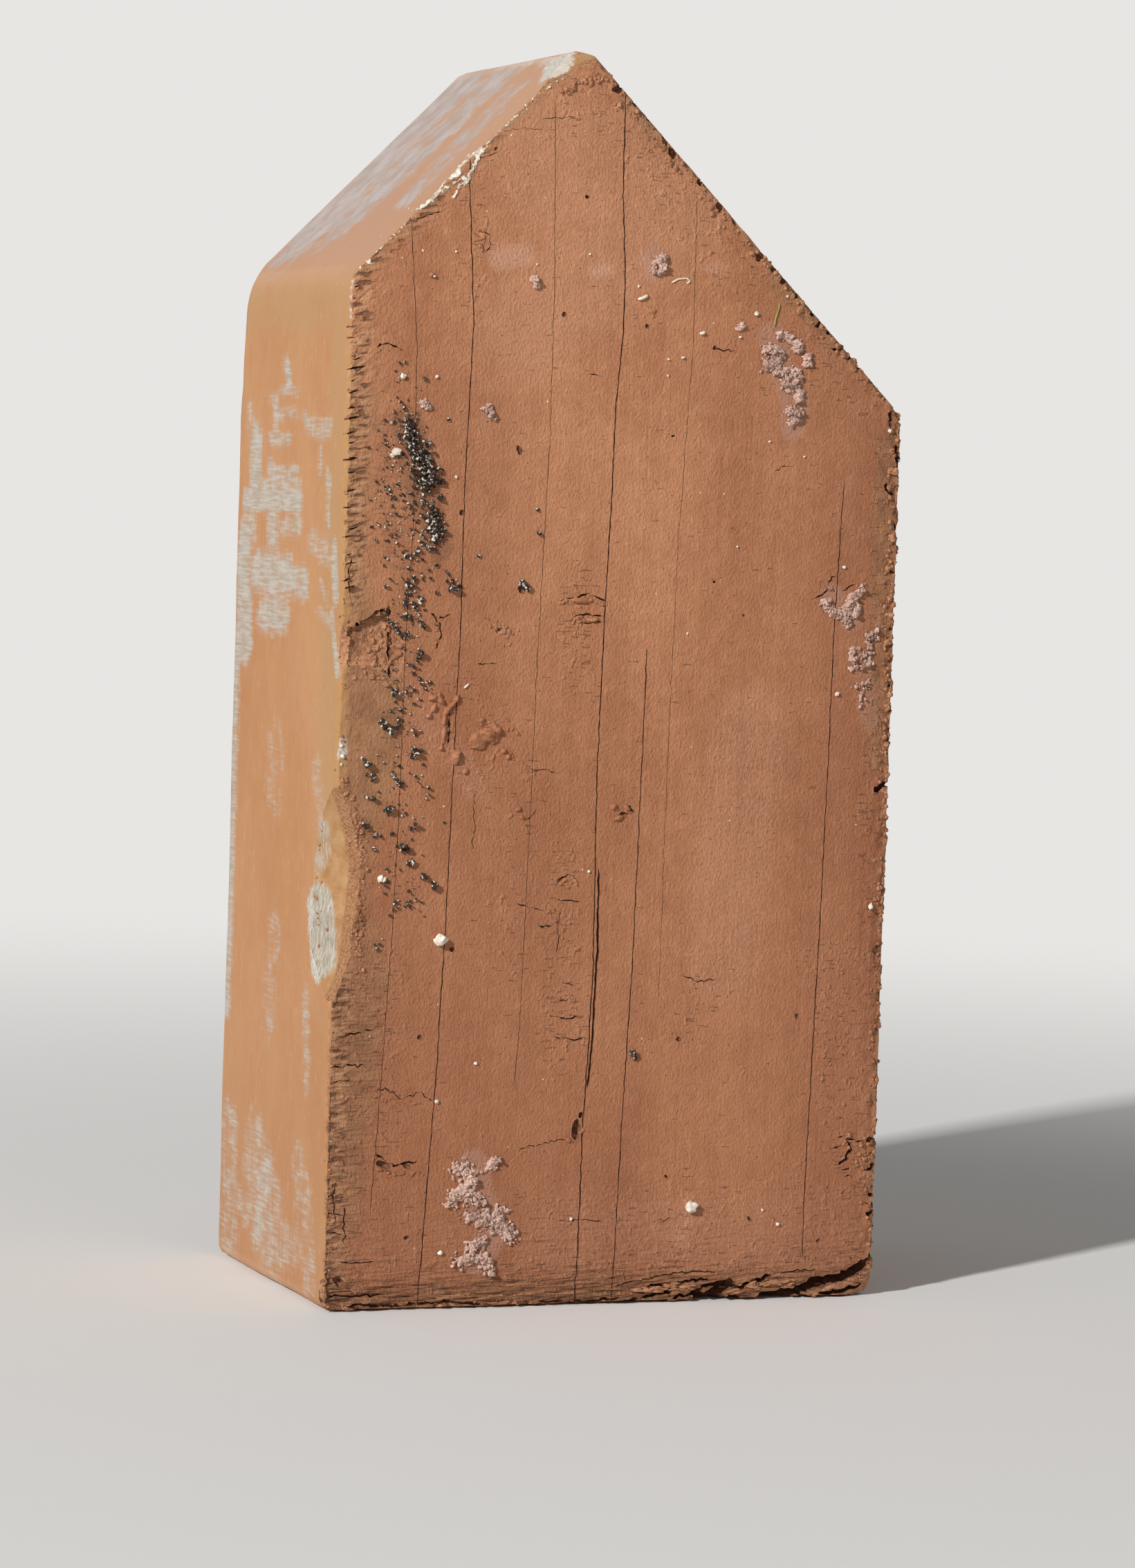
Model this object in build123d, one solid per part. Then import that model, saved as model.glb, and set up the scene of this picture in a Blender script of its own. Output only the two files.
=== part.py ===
from build123d import *

import os
from math import cos, hypot, radians, sin, tan

# Solid fired clay brick with a pointed end, standing on its square end.
# X runs across the width, Y from the front bed face to the back one, Z along the length.
# The origin is the middle of the square end, and every size is in millimetres.

# Driving sizes of the whole brick
width = 102.5
thickness = 65.0
crest_height = 216.0
crest_from_left = 41.2
slant_angle = 45.0

# Rounding of the edges, from the mould and from wear
crest_radius = 2.3
shoulder_radius = 2.6
base_side_radius = 2.2
front_arris_radius = 0.8
back_arris_radius = 1.9

# Worn corner at the front of the crest: how far it reaches left, right and back from there
crest_wear_left = 10.6
crest_wear_right = 3.2
crest_wear_back = 8.5

# Worn corner at the back of the left shoulder: how far it reaches forward, down and up the slant
shoulder_wear_forward = 7.0
shoulder_wear_down = 15.0
shoulder_wear_up = 7.0

# Large chip scooped out of the left front arris
left_chip = {"at": 74.0, "length": 34.0, "on_front": 5.0, "on_side": 13.5}

# Smaller chips in the other front arrises. Each has its place along the arris, its length there,
# and how far it reaches over the front face and over the face beside it.
# Up the right arris, from the base
right_chips = [
    {"at": 19.0, "length": 3.6, "on_front": 1.4, "on_side": 1.6},
    {"at": 27.0, "length": 5.4, "on_front": 2.2, "on_side": 1.9},
    {"at": 61.3, "length": 4.2, "on_front": 3.0, "on_side": 2.2},
    {"at": 67.8, "length": 2.6, "on_front": 2.2, "on_side": 1.7},
    {"at": 89.9, "length": 3.4, "on_front": 2.4, "on_side": 1.9},
    {"at": 104.5, "length": 3.2, "on_front": 1.4, "on_side": 1.3},
    {"at": 133.8, "length": 3.6, "on_front": 1.6, "on_side": 1.4},
    {"at": 142.4, "length": 4.2, "on_front": 1.9, "on_side": 1.6},
    {"at": 152.3, "length": 4.6, "on_front": 2.1, "on_side": 1.7},
]
# Down the right slant, measured across the width from the crest
slant_chips = [
    {"at": 15.6, "length": 3.0, "on_front": 1.4, "on_side": 1.4},
    {"at": 26.4, "length": 4.2, "on_front": 2.1, "on_side": 1.8},
    {"at": 37.2, "length": 5.2, "on_front": 1.9, "on_side": 1.6},
    {"at": 44.0, "length": 3.6, "on_front": 1.5, "on_side": 1.4},
    {"at": 55.2, "length": 4.0, "on_front": 1.8, "on_side": 1.5},
]
# Along the foot, from the left side
foot_chips = [
    {"at": 20.5, "length": 6.4, "on_front": 1.6, "on_side": 1.9},
    {"at": 54.5, "length": 7.5, "on_front": 1.7, "on_side": 2.1},
    {"at": 76.0, "length": 29.0, "on_front": 3.2, "on_side": 3.6},
]

# Spalled pocket beside the left front arris, deepest under its overhanging top
spall_from_left = 2.2
spall_width = 9.8
spall_top = 119.0
spall_length = 11.0
spall_depth = 2.4

# Broken corner at the bottom right of the front face
break_on_front = 11.8
break_up_arris = 8.0
break_on_side = 4.0

# Drag lines, scored along the front face while the clay was soft.
# Each has its mouth and depth, the heights of its two ends, and its path: its distances
# from the left side, at even steps from the top end down. A top of None runs out
# through the slant above, and a bottom of None runs out through the base.
drag_lines = [
    {"mouth": 0.6, "depth": 0.5, "top": None, "bottom": None, "path": [20.7, 22.2, 21.4, 20.9, 20.3, 17.4]},
    {"mouth": 0.8, "depth": 0.6, "top": None, "bottom": None, "path": [48.5, 49.4, 48.2, 47.2, 47.1, 46.1]},
    {"mouth": 0.6, "depth": 0.6, "top": 76.0, "bottom": 38.0, "path": [47.9, 48.1, 47.6, 46.9]},
    {"mouth": 0.5, "depth": 0.4, "top": 114.0, "bottom": None, "path": [55.5, 55.1, 54.4, 52.9]},
    {"mouth": 0.5, "depth": 0.4, "top": 144.0, "bottom": 7.0, "path": [91.3, 90.1, 89.5, 88.4]},
]
floor_share = 0.2

# Cutters start this far outside the faces that they open
overrun = 1.0

# Sizes that follow from the driving ones
left_x = -width / 2
right_x = width / 2
front_y = -thickness / 2
back_y = thickness / 2
slope = tan(radians(slant_angle))
crest_x = left_x + crest_from_left
sharp_crest = crest_height + crest_radius * (1 / cos(radians(slant_angle)) - 1)
cutter_size = 2 * (width + thickness)


def roof_height(x):
    """Height of the sharp slants above the base at x."""
    return sharp_crest - abs(x - crest_x) * slope


def rounded_block():
    """Five-sided block with its crest, shoulders and arrises rounded."""
    corners = {
        (left_x, 0): base_side_radius,
        (right_x, 0): base_side_radius,
        (right_x, roof_height(right_x)): shoulder_radius,
        (crest_x, sharp_crest): crest_radius,
        (left_x, roof_height(left_x)): shoulder_radius,
    }
    outline = make_face(Polyline(*corners, close=True))
    for corner, radius in corners.items():
        outline = fillet(outline.vertices().sort_by_distance(corner)[0], radius)
    block = extrude(Plane.XZ * outline, thickness / 2, both=True)
    block = fillet(block.faces().sort_by(Axis.Y)[-1].edges(), back_arris_radius)
    return fillet(block.faces().sort_by(Axis.Y)[0].edges(), front_arris_radius)


def corner_cutter(first, second, third):
    """Block whose flat side passes through three points round a corner, on the corner's side."""
    middle = (Vector(*first) + Vector(*second) + Vector(*third)) / 3
    across = Vector(*second) - Vector(*first)
    normal = across.cross(Vector(*third) - Vector(*first))
    inside = Vector(0, 0, crest_height / 2) - middle
    if normal.dot(inside) > 0:
        normal = -normal
    side = Plane(origin=middle, x_dir=across, z_dir=normal)
    return side * Box(cutter_size, cutter_size, cutter_size, align=(Align.CENTER, Align.CENTER, Align.MIN))


def crest_wear():
    """Worn corner at the front of the crest."""
    left = crest_x - crest_wear_left
    right = crest_x + crest_wear_right
    return corner_cutter(
        (left, front_y, roof_height(left)),
        (right, front_y, roof_height(right)),
        (crest_x, front_y + crest_wear_back, sharp_crest),
    )


def corner_break():
    """Broken corner at the bottom right of the front face."""
    return corner_cutter(
        (right_x - break_on_front, front_y, 0),
        (right_x, front_y, break_up_arris),
        (right_x, front_y + break_on_side, 0),
    )


def shoulder_wear():
    """Worn corner at the back of the left shoulder."""
    up_slant = left_x + shoulder_wear_up
    shoulder_height = roof_height(left_x)
    return corner_cutter(
        (left_x, back_y - shoulder_wear_forward, shoulder_height),
        (left_x, back_y, shoulder_height - shoulder_wear_down),
        (up_slant, back_y, roof_height(up_slant)),
    )


def arris_scoop(corner, over_front, chip):
    """Cylinder that scoops a chip out of a front arris, deepest at a corner point of the arris.

    The front face reaches away from the arris along over_front, and the face beside it
    reaches to the back.
    """
    on_front = chip["on_front"]
    on_side = chip["on_side"]
    over_side = Vector(0, 1, 0)
    chord = hypot(on_front, on_side)
    across = (over_front * on_front - over_side * on_side) / chord
    inward = (over_front * on_side + over_side * on_front) / chord
    bite = on_front * on_side / chord
    radius = ((chip["length"] / 2) ** 2 + bite**2) / (2 * bite)
    axis = Plane(origin=corner - inward * (radius - bite), z_dir=across)
    return axis * Cylinder(radius, 3 * chord)


def arris_chips():
    """The chips in all the front arrises."""
    slant = radians(slant_angle)
    under_slant = Vector(-sin(slant), 0, -cos(slant))
    scoops = [arris_scoop(Vector(left_x, front_y, left_chip["at"]), Vector(1, 0, 0), left_chip)]
    for chip in right_chips:
        corner = Vector(right_x, front_y, chip["at"])
        scoops.append(arris_scoop(corner, Vector(-1, 0, 0), chip))
    for chip in slant_chips:
        x = crest_x + chip["at"]
        scoops.append(arris_scoop(Vector(x, front_y, roof_height(x)), under_slant, chip))
    for chip in foot_chips:
        corner = Vector(left_x + chip["at"], front_y, 0)
        scoops.append(arris_scoop(corner, Vector(0, 0, 1), chip))
    return scoops


def spall():
    """Wedge that leaves the spalled pocket: a square top, and a floor that rises to the face."""
    outside = front_y - overrun
    bottom = spall_top - spall_length
    profile = Polyline(
        (outside, spall_top),
        (front_y + spall_depth, spall_top),
        (front_y, bottom),
        (outside, bottom),
        close=True,
    )
    return extrude(Plane.YZ.offset(left_x + spall_from_left) * make_face(profile), spall_width)


def drag_groove(mouth, depth, top, bottom, path):
    """V groove down the front face, as a ruled loft from above the face to its narrow floor."""
    places = [left_x + distance for distance in path]
    top_height = roof_height(places[0]) + overrun if top is None else top
    bottom_height = -overrun if bottom is None else bottom
    step = (top_height - bottom_height) / (len(places) - 1)
    points = [(x, top_height - step * count) for count, x in enumerate(places)]
    floor = mouth * floor_share
    opened = mouth + (mouth - floor) * overrun / depth
    sections = []
    for y, span in ((front_y - overrun, opened), (front_y + depth, floor)):
        down = [(x - span / 2, height) for x, height in points]
        back_up = [(x + span / 2, height) for x, height in reversed(points)]
        section = make_face(Polyline(*down, *back_up, close=True))
        sections.append(Plane.XZ.offset(-y) * section)
    return loft(sections, ruled=True)


def clay_brick():
    """The whole brick: the rounded block less its wear, chips, pocket and drag lines."""
    brick = rounded_block()
    brick -= crest_wear()
    brick -= shoulder_wear()
    brick -= corner_break()
    for chip in arris_chips():
        brick -= chip
    brick -= spall()
    for line in drag_lines:
        brick -= drag_groove(**line)
    return brick


os.makedirs("parts", exist_ok=True)
export_step(clay_brick(), "parts/clay_brick.step")
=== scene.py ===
import math
import random

import bpy
import numpy as np
from mathutils import Matrix, Vector
from mathutils.bvhtree import BVHTree
from mathutils.kdtree import KDTree


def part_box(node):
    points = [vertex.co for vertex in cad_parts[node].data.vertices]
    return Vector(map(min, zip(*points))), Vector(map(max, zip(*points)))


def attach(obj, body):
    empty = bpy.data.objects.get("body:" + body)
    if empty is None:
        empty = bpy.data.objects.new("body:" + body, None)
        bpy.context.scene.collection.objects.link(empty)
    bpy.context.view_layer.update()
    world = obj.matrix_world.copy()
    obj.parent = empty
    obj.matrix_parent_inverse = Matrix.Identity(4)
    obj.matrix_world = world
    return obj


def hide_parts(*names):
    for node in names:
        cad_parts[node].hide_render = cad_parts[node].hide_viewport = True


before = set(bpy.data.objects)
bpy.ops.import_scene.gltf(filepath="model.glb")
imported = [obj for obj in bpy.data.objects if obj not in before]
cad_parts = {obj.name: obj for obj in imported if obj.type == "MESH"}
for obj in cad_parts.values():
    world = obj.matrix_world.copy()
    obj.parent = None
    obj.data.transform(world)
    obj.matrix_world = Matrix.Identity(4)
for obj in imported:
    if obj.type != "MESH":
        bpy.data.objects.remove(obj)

# The brick stands on its square end. X runs across its width, Y from its front face to
# its back one, Z along its length. Shapes are given in millimetres, and Blender's own
# unit is the metre.
MM = 0.001
solid_low, solid_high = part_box("clay_brick")
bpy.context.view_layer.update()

# Sizes of the brick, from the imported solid
LEFT, RIGHT = solid_low.x / MM, solid_high.x / MM
FRONT, BACK = solid_low.y / MM, solid_high.y / MM
WIDTH, THICKNESS = RIGHT - LEFT, BACK - FRONT
CREST_TOP = solid_high.z / MM

# The crest and the rounded edges, as the solid has them
CREST_FROM_LEFT = 41.2
CREST_X = LEFT + CREST_FROM_LEFT
CREST_RADIUS = 2.3
SHOULDER_RADIUS = 2.6
BASE_SIDE_RADIUS = 2.2
FRONT_ARRIS_RADIUS = 0.8
BACK_ARRIS_RADIUS = 1.9
SHARP_CREST = CREST_TOP + CREST_RADIUS * (math.sqrt(2) - 1)

# The worn crest and the broken corner, as the solid has them: how far they reach
CREST_WEAR_LEFT, CREST_WEAR_RIGHT, CREST_WEAR_BACK = 10.6, 3.2, 8.5
BREAK_ON_FRONT, BREAK_UP_ARRIS, BREAK_ON_SIDE = 11.8, 8, 4
# Chipped clay above this height is the crest's, and below it the left arris's
CREST_WEAR_FOOT = 180
# Scoops of the large chip in the left front arris: height, length, reach over the front face
# and over the side, and seed
LEFT_CHIP = ((74, 34, 5.0, 13.5, 11), (64.5, 25, 3.8, 13.0, 13))
# Wear along the back of the left shoulder: reach forward, down and up the slant, and seed
SHOULDER_WEAR = ((7, 15, 7, 39), (5.5, 42, 5, 38))

# Spacing of the body's mesh, before the front face is divided once more
SPACING = 1.9
# Width of the strip beside the left front arris that is divided finest
LEFT_STRIP = 6.0
# Places closer together than this count as one
NEAR = 0.01
# Vertex weights are set in this many steps
WEIGHT_STEPS = 20


def roof(x):
    """Height of the two slants, both at 45 degrees, above a place across the width."""
    return SHARP_CREST - np.abs(x - CREST_X)


def below_slants(x, z):
    """Distance from a place to the slant above it, square to the slant."""
    return (roof(x) - z) / math.sqrt(2)


# Mesh tools


def clear_selection():
    """Leave edit mode and deselect everything."""
    if bpy.context.mode != "OBJECT":
        bpy.ops.object.mode_set(mode="OBJECT")
    bpy.ops.object.select_all(action="DESELECT")


def take(piece):
    """Make one piece the only selected and active one."""
    clear_selection()
    piece.select_set(True)
    bpy.context.view_layer.objects.active = piece


def settle():
    """Put the size and place of the selected piece into its mesh."""
    bpy.ops.object.transform_apply(location=True, rotation=True, scale=True)


def new_object(name, data=None):
    """A new object in the scene."""
    made = bpy.data.objects.new(name, data)
    bpy.context.collection.objects.link(made)
    return made


def edit_whole(piece):
    """Enter edit mode with the whole of a piece selected."""
    take(piece)
    bpy.ops.object.mode_set(mode="EDIT")
    bpy.ops.mesh.select_all(action="SELECT")


def slice_off(place, normal):
    """Cut away what is selected beyond a plane, and close the cut. The place is in metres."""
    normal = Vector(normal).normalized()
    bpy.ops.mesh.bisect(plane_co=place, plane_no=normal, use_fill=True, clear_outer=True)


def block(name, low, high):
    """A box from its lowest to its highest corner, in millimetres."""
    clear_selection()
    low, high = Vector(low) * MM, Vector(high) * MM
    bpy.ops.mesh.primitive_cube_add(size=1, location=(low + high) / 2, scale=high - low)
    piece = bpy.context.object
    piece.name = piece.data.name = name
    settle()
    return piece


def read(parts, field, width):
    """One field of a mesh's parts as an array."""
    flat = np.empty(len(parts) * width, dtype=np.float32)
    parts.foreach_get(field, flat)
    return flat.reshape(-1, width).astype(float)


def places(mesh):
    """The places of a mesh's vertices, in millimetres."""
    return read(mesh.vertices, "co", 3) / MM


def edge_ends(mesh):
    """The numbers of the two vertices of each of a mesh's edges."""
    ends = np.empty(len(mesh.edges) * 2, dtype=np.int32)
    mesh.edges.foreach_get("vertices", ends)
    return ends.reshape(-1, 2)


def select(piece, mode, kind, flags):
    """Select some parts of a piece in object mode, and enter edit mode."""
    mesh = piece.data
    for each in ("vertices", "edges", "polygons"):
        parts = getattr(mesh, each)
        parts.foreach_set("select", flags if each == kind else np.zeros(len(parts), dtype=bool))
    bpy.context.tool_settings.mesh_select_mode = (False, mode == "EDGE", mode == "FACE")
    bpy.ops.object.mode_set(mode="EDIT")


def pick_edges(piece, test):
    """Select in edit mode the edges whose two ends pass a test."""
    take(piece)
    spots = places(piece.data)[edge_ends(piece.data)]
    select(piece, "EDGE", "edges", test(spots[:, 0], spots[:, 1]))


def pick_faces(piece, test):
    """Select in edit mode the faces whose centre and normal pass a test."""
    take(piece)
    mesh = piece.data
    centres = read(mesh.polygons, "center", 3) / MM
    select(piece, "FACE", "polygons", test(centres, read(mesh.polygons, "normal", 3)))


def divide(piece, pick, test, cuts):
    """Subdivide the edges or faces of a piece that pass a test."""
    pick(piece, test)
    bpy.ops.mesh.subdivide(number_cuts=cuts)


def apply_all(piece):
    """Apply a piece's modifiers in turn."""
    take(piece)
    for name in [modifier.name for modifier in piece.modifiers]:
        bpy.ops.object.modifier_apply(modifier=name)


def fade(value, full, none):
    """1 where a value has reached `full`, 0 where it has reached `none`, smooth between."""
    share = np.clip((value - none) / (full - none), 0, 1)
    return share * share * (3 - 2 * share)


def stroke(spots, path, reach, full):
    """A brush stroke: 1 within `full` of a path on a face and 0 at its reach from it."""
    best = np.full(len(spots), np.inf)
    path = np.array(path, dtype=float)
    if len(path) == 1:
        path = np.vstack([path, path])
    for start, end in zip(path[:-1], path[1:]):
        along = end - start
        length = max(float(along @ along), 1e-9)
        share = np.clip((spots - start) @ along / length, 0, 1)
        best = np.minimum(best, np.linalg.norm(spots - start - share[:, None] * along, axis=1))
    return fade(best, full, reach)


# The body


def cut_slant(piece, side):
    """Cut away the corner above one slant: side is -1 for the left slant and 1 for the right."""
    edit_whole(piece)
    slice_off((CREST_X * MM, 0, SHARP_CREST * MM), (side, 0, 1))


def pointed_block(name):
    """The sharp five-sided block."""
    piece = block(name, (LEFT, FRONT, 0), (RIGHT, BACK, SHARP_CREST))
    cut_slant(piece, -1)
    cut_slant(piece, 1)
    return piece


def along_y(a, b):
    """Edges that run from front to back."""
    return np.abs(a[:, 1] - b[:, 1]) > 1


def at_front(a, b):
    """Edges that lie in the front face."""
    return (a[:, 1] < FRONT + NEAR) & (b[:, 1] < FRONT + NEAR)


def rounded_form():
    """The block with its crest, shoulders and arrises rounded."""
    form = pointed_block("rounded_form")

    def at_crest(a, b):
        return along_y(a, b) & (a[:, 2] > SHARP_CREST - NEAR)

    def at_shoulders(a, b):
        return along_y(a, b) & (a[:, 2] > NEAR) & (np.abs(a[:, 0]) > WIDTH / 2 - NEAR)

    def at_base(a, b):
        return along_y(a, b) & (a[:, 2] < NEAR)

    def at_back(a, b):
        return (a[:, 1] > BACK - NEAR) & (b[:, 1] > BACK - NEAR)

    for test, radius, segments in (
        (at_crest, CREST_RADIUS, 6),
        (at_shoulders, SHOULDER_RADIUS, 6),
        (at_base, BASE_SIDE_RADIUS, 6),
        (at_back, BACK_ARRIS_RADIUS, 4),
        (at_front, FRONT_ARRIS_RADIUS, 3),
    ):
        pick_edges(form, test)
        bpy.ops.mesh.bevel(
            offset=radius * MM, offset_type="OFFSET", segments=segments, clamp_overlap=False
        )
    clear_selection()
    return form


def fine_block():
    """The sharp block divided into small quads, finest where the clay is torn."""
    piece = pointed_block("clay_brick_body")
    middle = CREST_TOP / 2
    for place, normal in (((CREST_X, 0, 0), (1, 0, 0)), ((0, 0, middle), (0, 0, 1))):
        edit_whole(piece)
        bpy.ops.mesh.bisect(plane_co=Vector(place) * MM, plane_no=normal)

    def upright(a, b):
        return (np.abs(a[:, 0] - b[:, 0]) < NEAR) & (np.abs(a[:, 1] - b[:, 1]) < NEAR)

    def low(a, b):
        return upright(a, b) & (a[:, 2] + b[:, 2] < 2 * middle)

    def high(a, b):
        return upright(a, b) & (a[:, 2] + b[:, 2] > 2 * middle)

    def left(a, b):
        return (np.abs(a[:, 0] - b[:, 0]) > NEAR) & (a[:, 0] + b[:, 0] < 2 * CREST_X)

    def right(a, b):
        return (np.abs(a[:, 0] - b[:, 0]) > NEAR) & (a[:, 0] + b[:, 0] > 2 * CREST_X)

    for test, length in (
        (low, middle),
        (high, CREST_TOP - middle),
        (left, CREST_X - LEFT),
        (right, RIGHT - CREST_X),
        (along_y, THICKNESS),
    ):
        divide(piece, pick_edges, test, round(length / SPACING))

    def front(centre, normal):
        return normal[:, 1] < -0.9

    def left_side_arris(centre, normal):
        return (normal[:, 0] < -0.5) & (centre[:, 1] < FRONT + 8)

    def torn_right(centre, normal):
        beside = centre[:, 0] > RIGHT - 6
        under_slant = roof(centre[:, 0]) - centre[:, 2] < 7
        return front(centre, normal) & (beside | (under_slant & (centre[:, 0] > CREST_X)))

    for test in (front, left_side_arris, torn_right):
        divide(piece, pick_faces, test, 1)

    def steep_on_front(a, b):
        return at_front(a, b) & (np.abs(a[:, 2] - b[:, 2]) > 3 * np.abs(a[:, 0] - b[:, 0]))

    def in_strip(a, b):
        return (a[:, 0] < LEFT + LEFT_STRIP) & (b[:, 0] < LEFT + LEFT_STRIP)

    def steep_in_strip(a, b):
        return steep_on_front(a, b) & in_strip(a, b)

    def level_in_strip(a, b):
        level = np.abs(a[:, 0] - b[:, 0]) > 3 * np.abs(a[:, 2] - b[:, 2])
        return at_front(a, b) & level & in_strip(a, b)

    def at_foot(a, b):
        return steep_on_front(a, b) & (a[:, 2] < 8) & (b[:, 2] < 8)

    for test, cuts in ((steep_in_strip, 2), (level_in_strip, 1), (at_foot, 3)):
        divide(piece, pick_edges, test, cuts)
    clear_selection()
    return piece


def wrap_on(piece, form):
    """Draw a fine mesh onto the rounded form, and delete the form."""
    wrap = piece.modifiers.new("wrap", "SHRINKWRAP")
    wrap.target = form
    wrap.wrap_method = "NEAREST_SURFACEPOINT"
    apply_all(piece)
    bpy.data.objects.remove(form)


# Relief


def weigh(piece, weights):
    """Give a piece a vertex group with one weight for each vertex."""
    group = piece.vertex_groups.new(name="share")
    steps = np.round(weights * WEIGHT_STEPS).astype(int)
    for step in range(1, WEIGHT_STEPS + 1):
        chosen = np.nonzero(steps == step)[0]
        if len(chosen):
            group.add(chosen.tolist(), step / WEIGHT_STEPS, "REPLACE")
    return group.name


def relief(piece, grain, height, seed, weights=None, stretch=(1, 1, 1), lean=0, top=0.8, contrast=1.0):
    """Press noise into a piece. Its grain, and its height from low to high, are millimetres."""
    noise = bpy.data.textures.new("relief", "CLOUDS")
    noise.noise_basis = "IMPROVED_PERLIN"
    noise.noise_scale = 1
    noise.noise_depth = 2
    noise.contrast = contrast
    place = new_object("relief_place")
    # Each seed reads another part of the noise
    place.location = (0.37 * seed, 0.11 * seed, 0.73 * seed)
    place.rotation_euler.y = math.radians(lean)
    place.scale = Vector(stretch) * grain * MM
    bpy.context.view_layer.update()
    press = piece.modifiers.new("relief", "DISPLACE")
    press.texture = noise
    press.texture_coords = "OBJECT"
    press.texture_coords_object = place
    press.mid_level = top
    press.strength = height * MM
    if weights is not None:
        press.vertex_group = weigh(piece, weights)
    apply_all(piece)
    piece.vertex_groups.clear()
    bpy.data.objects.remove(place)
    bpy.data.textures.remove(noise)


def weather(piece):
    """The body's own relief: slow swells, a sandy skin, and torn bands along its edges."""
    x, y, z = places(piece.data).T
    front = fade(y - FRONT, 0.6, 1.4)
    under_slant = below_slants(x, z)
    right_slant = front * fade(under_slant, 1.5, 6) * (x > CREST_X)
    calmer_by_chip = 1 - 0.5 * fade(np.abs(z - 88), 22, 32)
    left_strip = front * fade(x - LEFT, 1.8, 4.2) * fade(under_slant, 4, 0) * calmer_by_chip
    left_skin = front * fade(x - LEFT, 6, 12)
    right_band = front * fade(RIGHT - x, 2, 7)
    foot = front * fade(z, 2.5, 9)
    near_right = front * fade(RIGHT - x, 0.5, 3.5)
    # Each call gives the grain, the height and the seed
    relief(piece, 38, 0.5, 1)
    relief(piece, 9, 0.22, 2, stretch=(1, 1, 1.4))
    relief(piece, 3, 0.16, 3, weights=0.4 + 0.6 * front)
    relief(piece, 1.1, 0.12, 4, weights=front, stretch=(0.8, 1, 1.6))
    relief(piece, 1, 0.5, 5, weights=left_strip, stretch=(1.2, 3, 0.7), contrast=1.6)
    relief(piece, 0.9, 0.3, 9, weights=left_skin, contrast=1.5)
    relief(piece, 1, 1.2, 6, weights=foot, stretch=(5, 4, 0.55), lean=-3, contrast=1.8)
    relief(piece, 1.4, 0.6, 7, weights=np.maximum(right_band, right_slant), contrast=1.4)
    relief(piece, 1.3, 1.1, 8, weights=near_right, contrast=1.6)


# Cutting


FINISHES = ("clay", "broken", "cut_inside", "chip")
finishes = {name: bpy.data.materials.new(name + "_clay") for name in FINISHES}


def dress(piece, finish):
    """Give a piece the brick's own list of materials, and one of them on all its faces."""
    piece.data.materials.clear()
    for material in finishes.values():
        piece.data.materials.append(material)
    index = FINISHES.index(finish)
    piece.data.polygons.foreach_set("material_index", np.full(len(piece.data.polygons), index))


def combine(piece, other, operation):
    """Cut a piece with another or join the two, and delete the other."""
    change = piece.modifiers.new("combine", "BOOLEAN")
    change.operation = operation
    change.solver = "MANIFOLD"
    change.object = other
    apply_all(piece)
    bpy.data.objects.remove(other)


def carve(piece, cutters, finish):
    """Cut a piece with one or more cutters, joined first. The cuts take the named finish."""
    first, *others = cutters
    dress(first, finish)
    for other in others:
        dress(other, finish)
        combine(first, other, "UNION")
    combine(piece, first, "DIFFERENCE")


def surface(piece):
    """A tree for finding places on a piece's surface."""
    return BVHTree.FromObject(piece, bpy.context.evaluated_depsgraph_get())


def touch(tree, face, a, b):
    """The place, in millimetres, and the normal where a line square to a face meets it.

    The front face takes x and z, and the left slant y and x.
    """
    away = 9
    start, way = {
        "front": (Vector((a, FRONT - away, b)), Vector((0, 1, 0))),
        "slant": (Vector((b - away, a, roof(b) + away)), Vector((1, 0, -1)).normalized()),
    }[face]
    hit, normal = tree.ray_cast(start * MM, way)[:2]
    if hit is None:
        return None, None
    return hit / MM, normal


def rough_block(name, size, spacing):
    """A box with its top face at the origin, divided finely on that face. Size is in millimetres."""
    wide, deep, tall = size
    piece = block(name, (-wide / 2, -deep / 2, -tall), (wide / 2, deep / 2, 0))

    def top_across(a, b):
        return (a[:, 2] > -NEAR) & (b[:, 2] > -NEAR) & (np.abs(a[:, 0] - b[:, 0]) > 1)

    def top_along(a, b):
        return (a[:, 2] > -NEAR) & (b[:, 2] > -NEAR) & (np.abs(a[:, 1] - b[:, 1]) > 1)

    for test, length in ((top_across, wide), (top_along, deep)):
        divide(piece, pick_edges, test, max(1, round(length / spacing)))
    clear_selection()
    return piece


def lay(piece, origin, normal, along):
    """Lay a rough block so that its top faces a direction, at a place in millimetres."""
    up = Vector(normal).normalized()
    side = (Vector(along) - up * up.dot(Vector(along))).normalized()
    ahead = up.cross(side)
    turn = Matrix((side, ahead, up)).transposed().to_4x4()
    take(piece)
    piece.matrix_world = Matrix.Translation(Vector(origin) * MM) @ turn
    settle()


def wear_plane(piece, corners, size, grain, height, seed, finish):
    """Break a corner off along a rough plane through three places."""
    first, second, third = (Vector(corner) for corner in corners)
    middle = (first + second + third) / 3
    normal = (second - first).cross(third - first).normalized()
    if normal.dot(middle - Vector((0, 0, CREST_TOP / 2))) > 0:
        normal = -normal
    cutter = rough_block("wear", size, 0.6)
    relief(cutter, grain, height, seed)
    lay(cutter, middle, normal, second - first)
    carve(piece, [cutter], finish)


def worn_arris(start, end, inward, bite, height, grain, seed):
    """A rough bar that nibbles an arris: its mean bite, and how far that varies from low to high."""
    start, end, inward = Vector(start), Vector(end), Vector(inward).normalized()
    cutter = rough_block("nibble", ((end - start).length, 8, 5), 0.55)
    relief(cutter, grain, height, seed, top=0.5, contrast=1.5)
    lay(cutter, (start + end) / 2 + inward * bite, inward, end - start)
    return cutter


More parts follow.
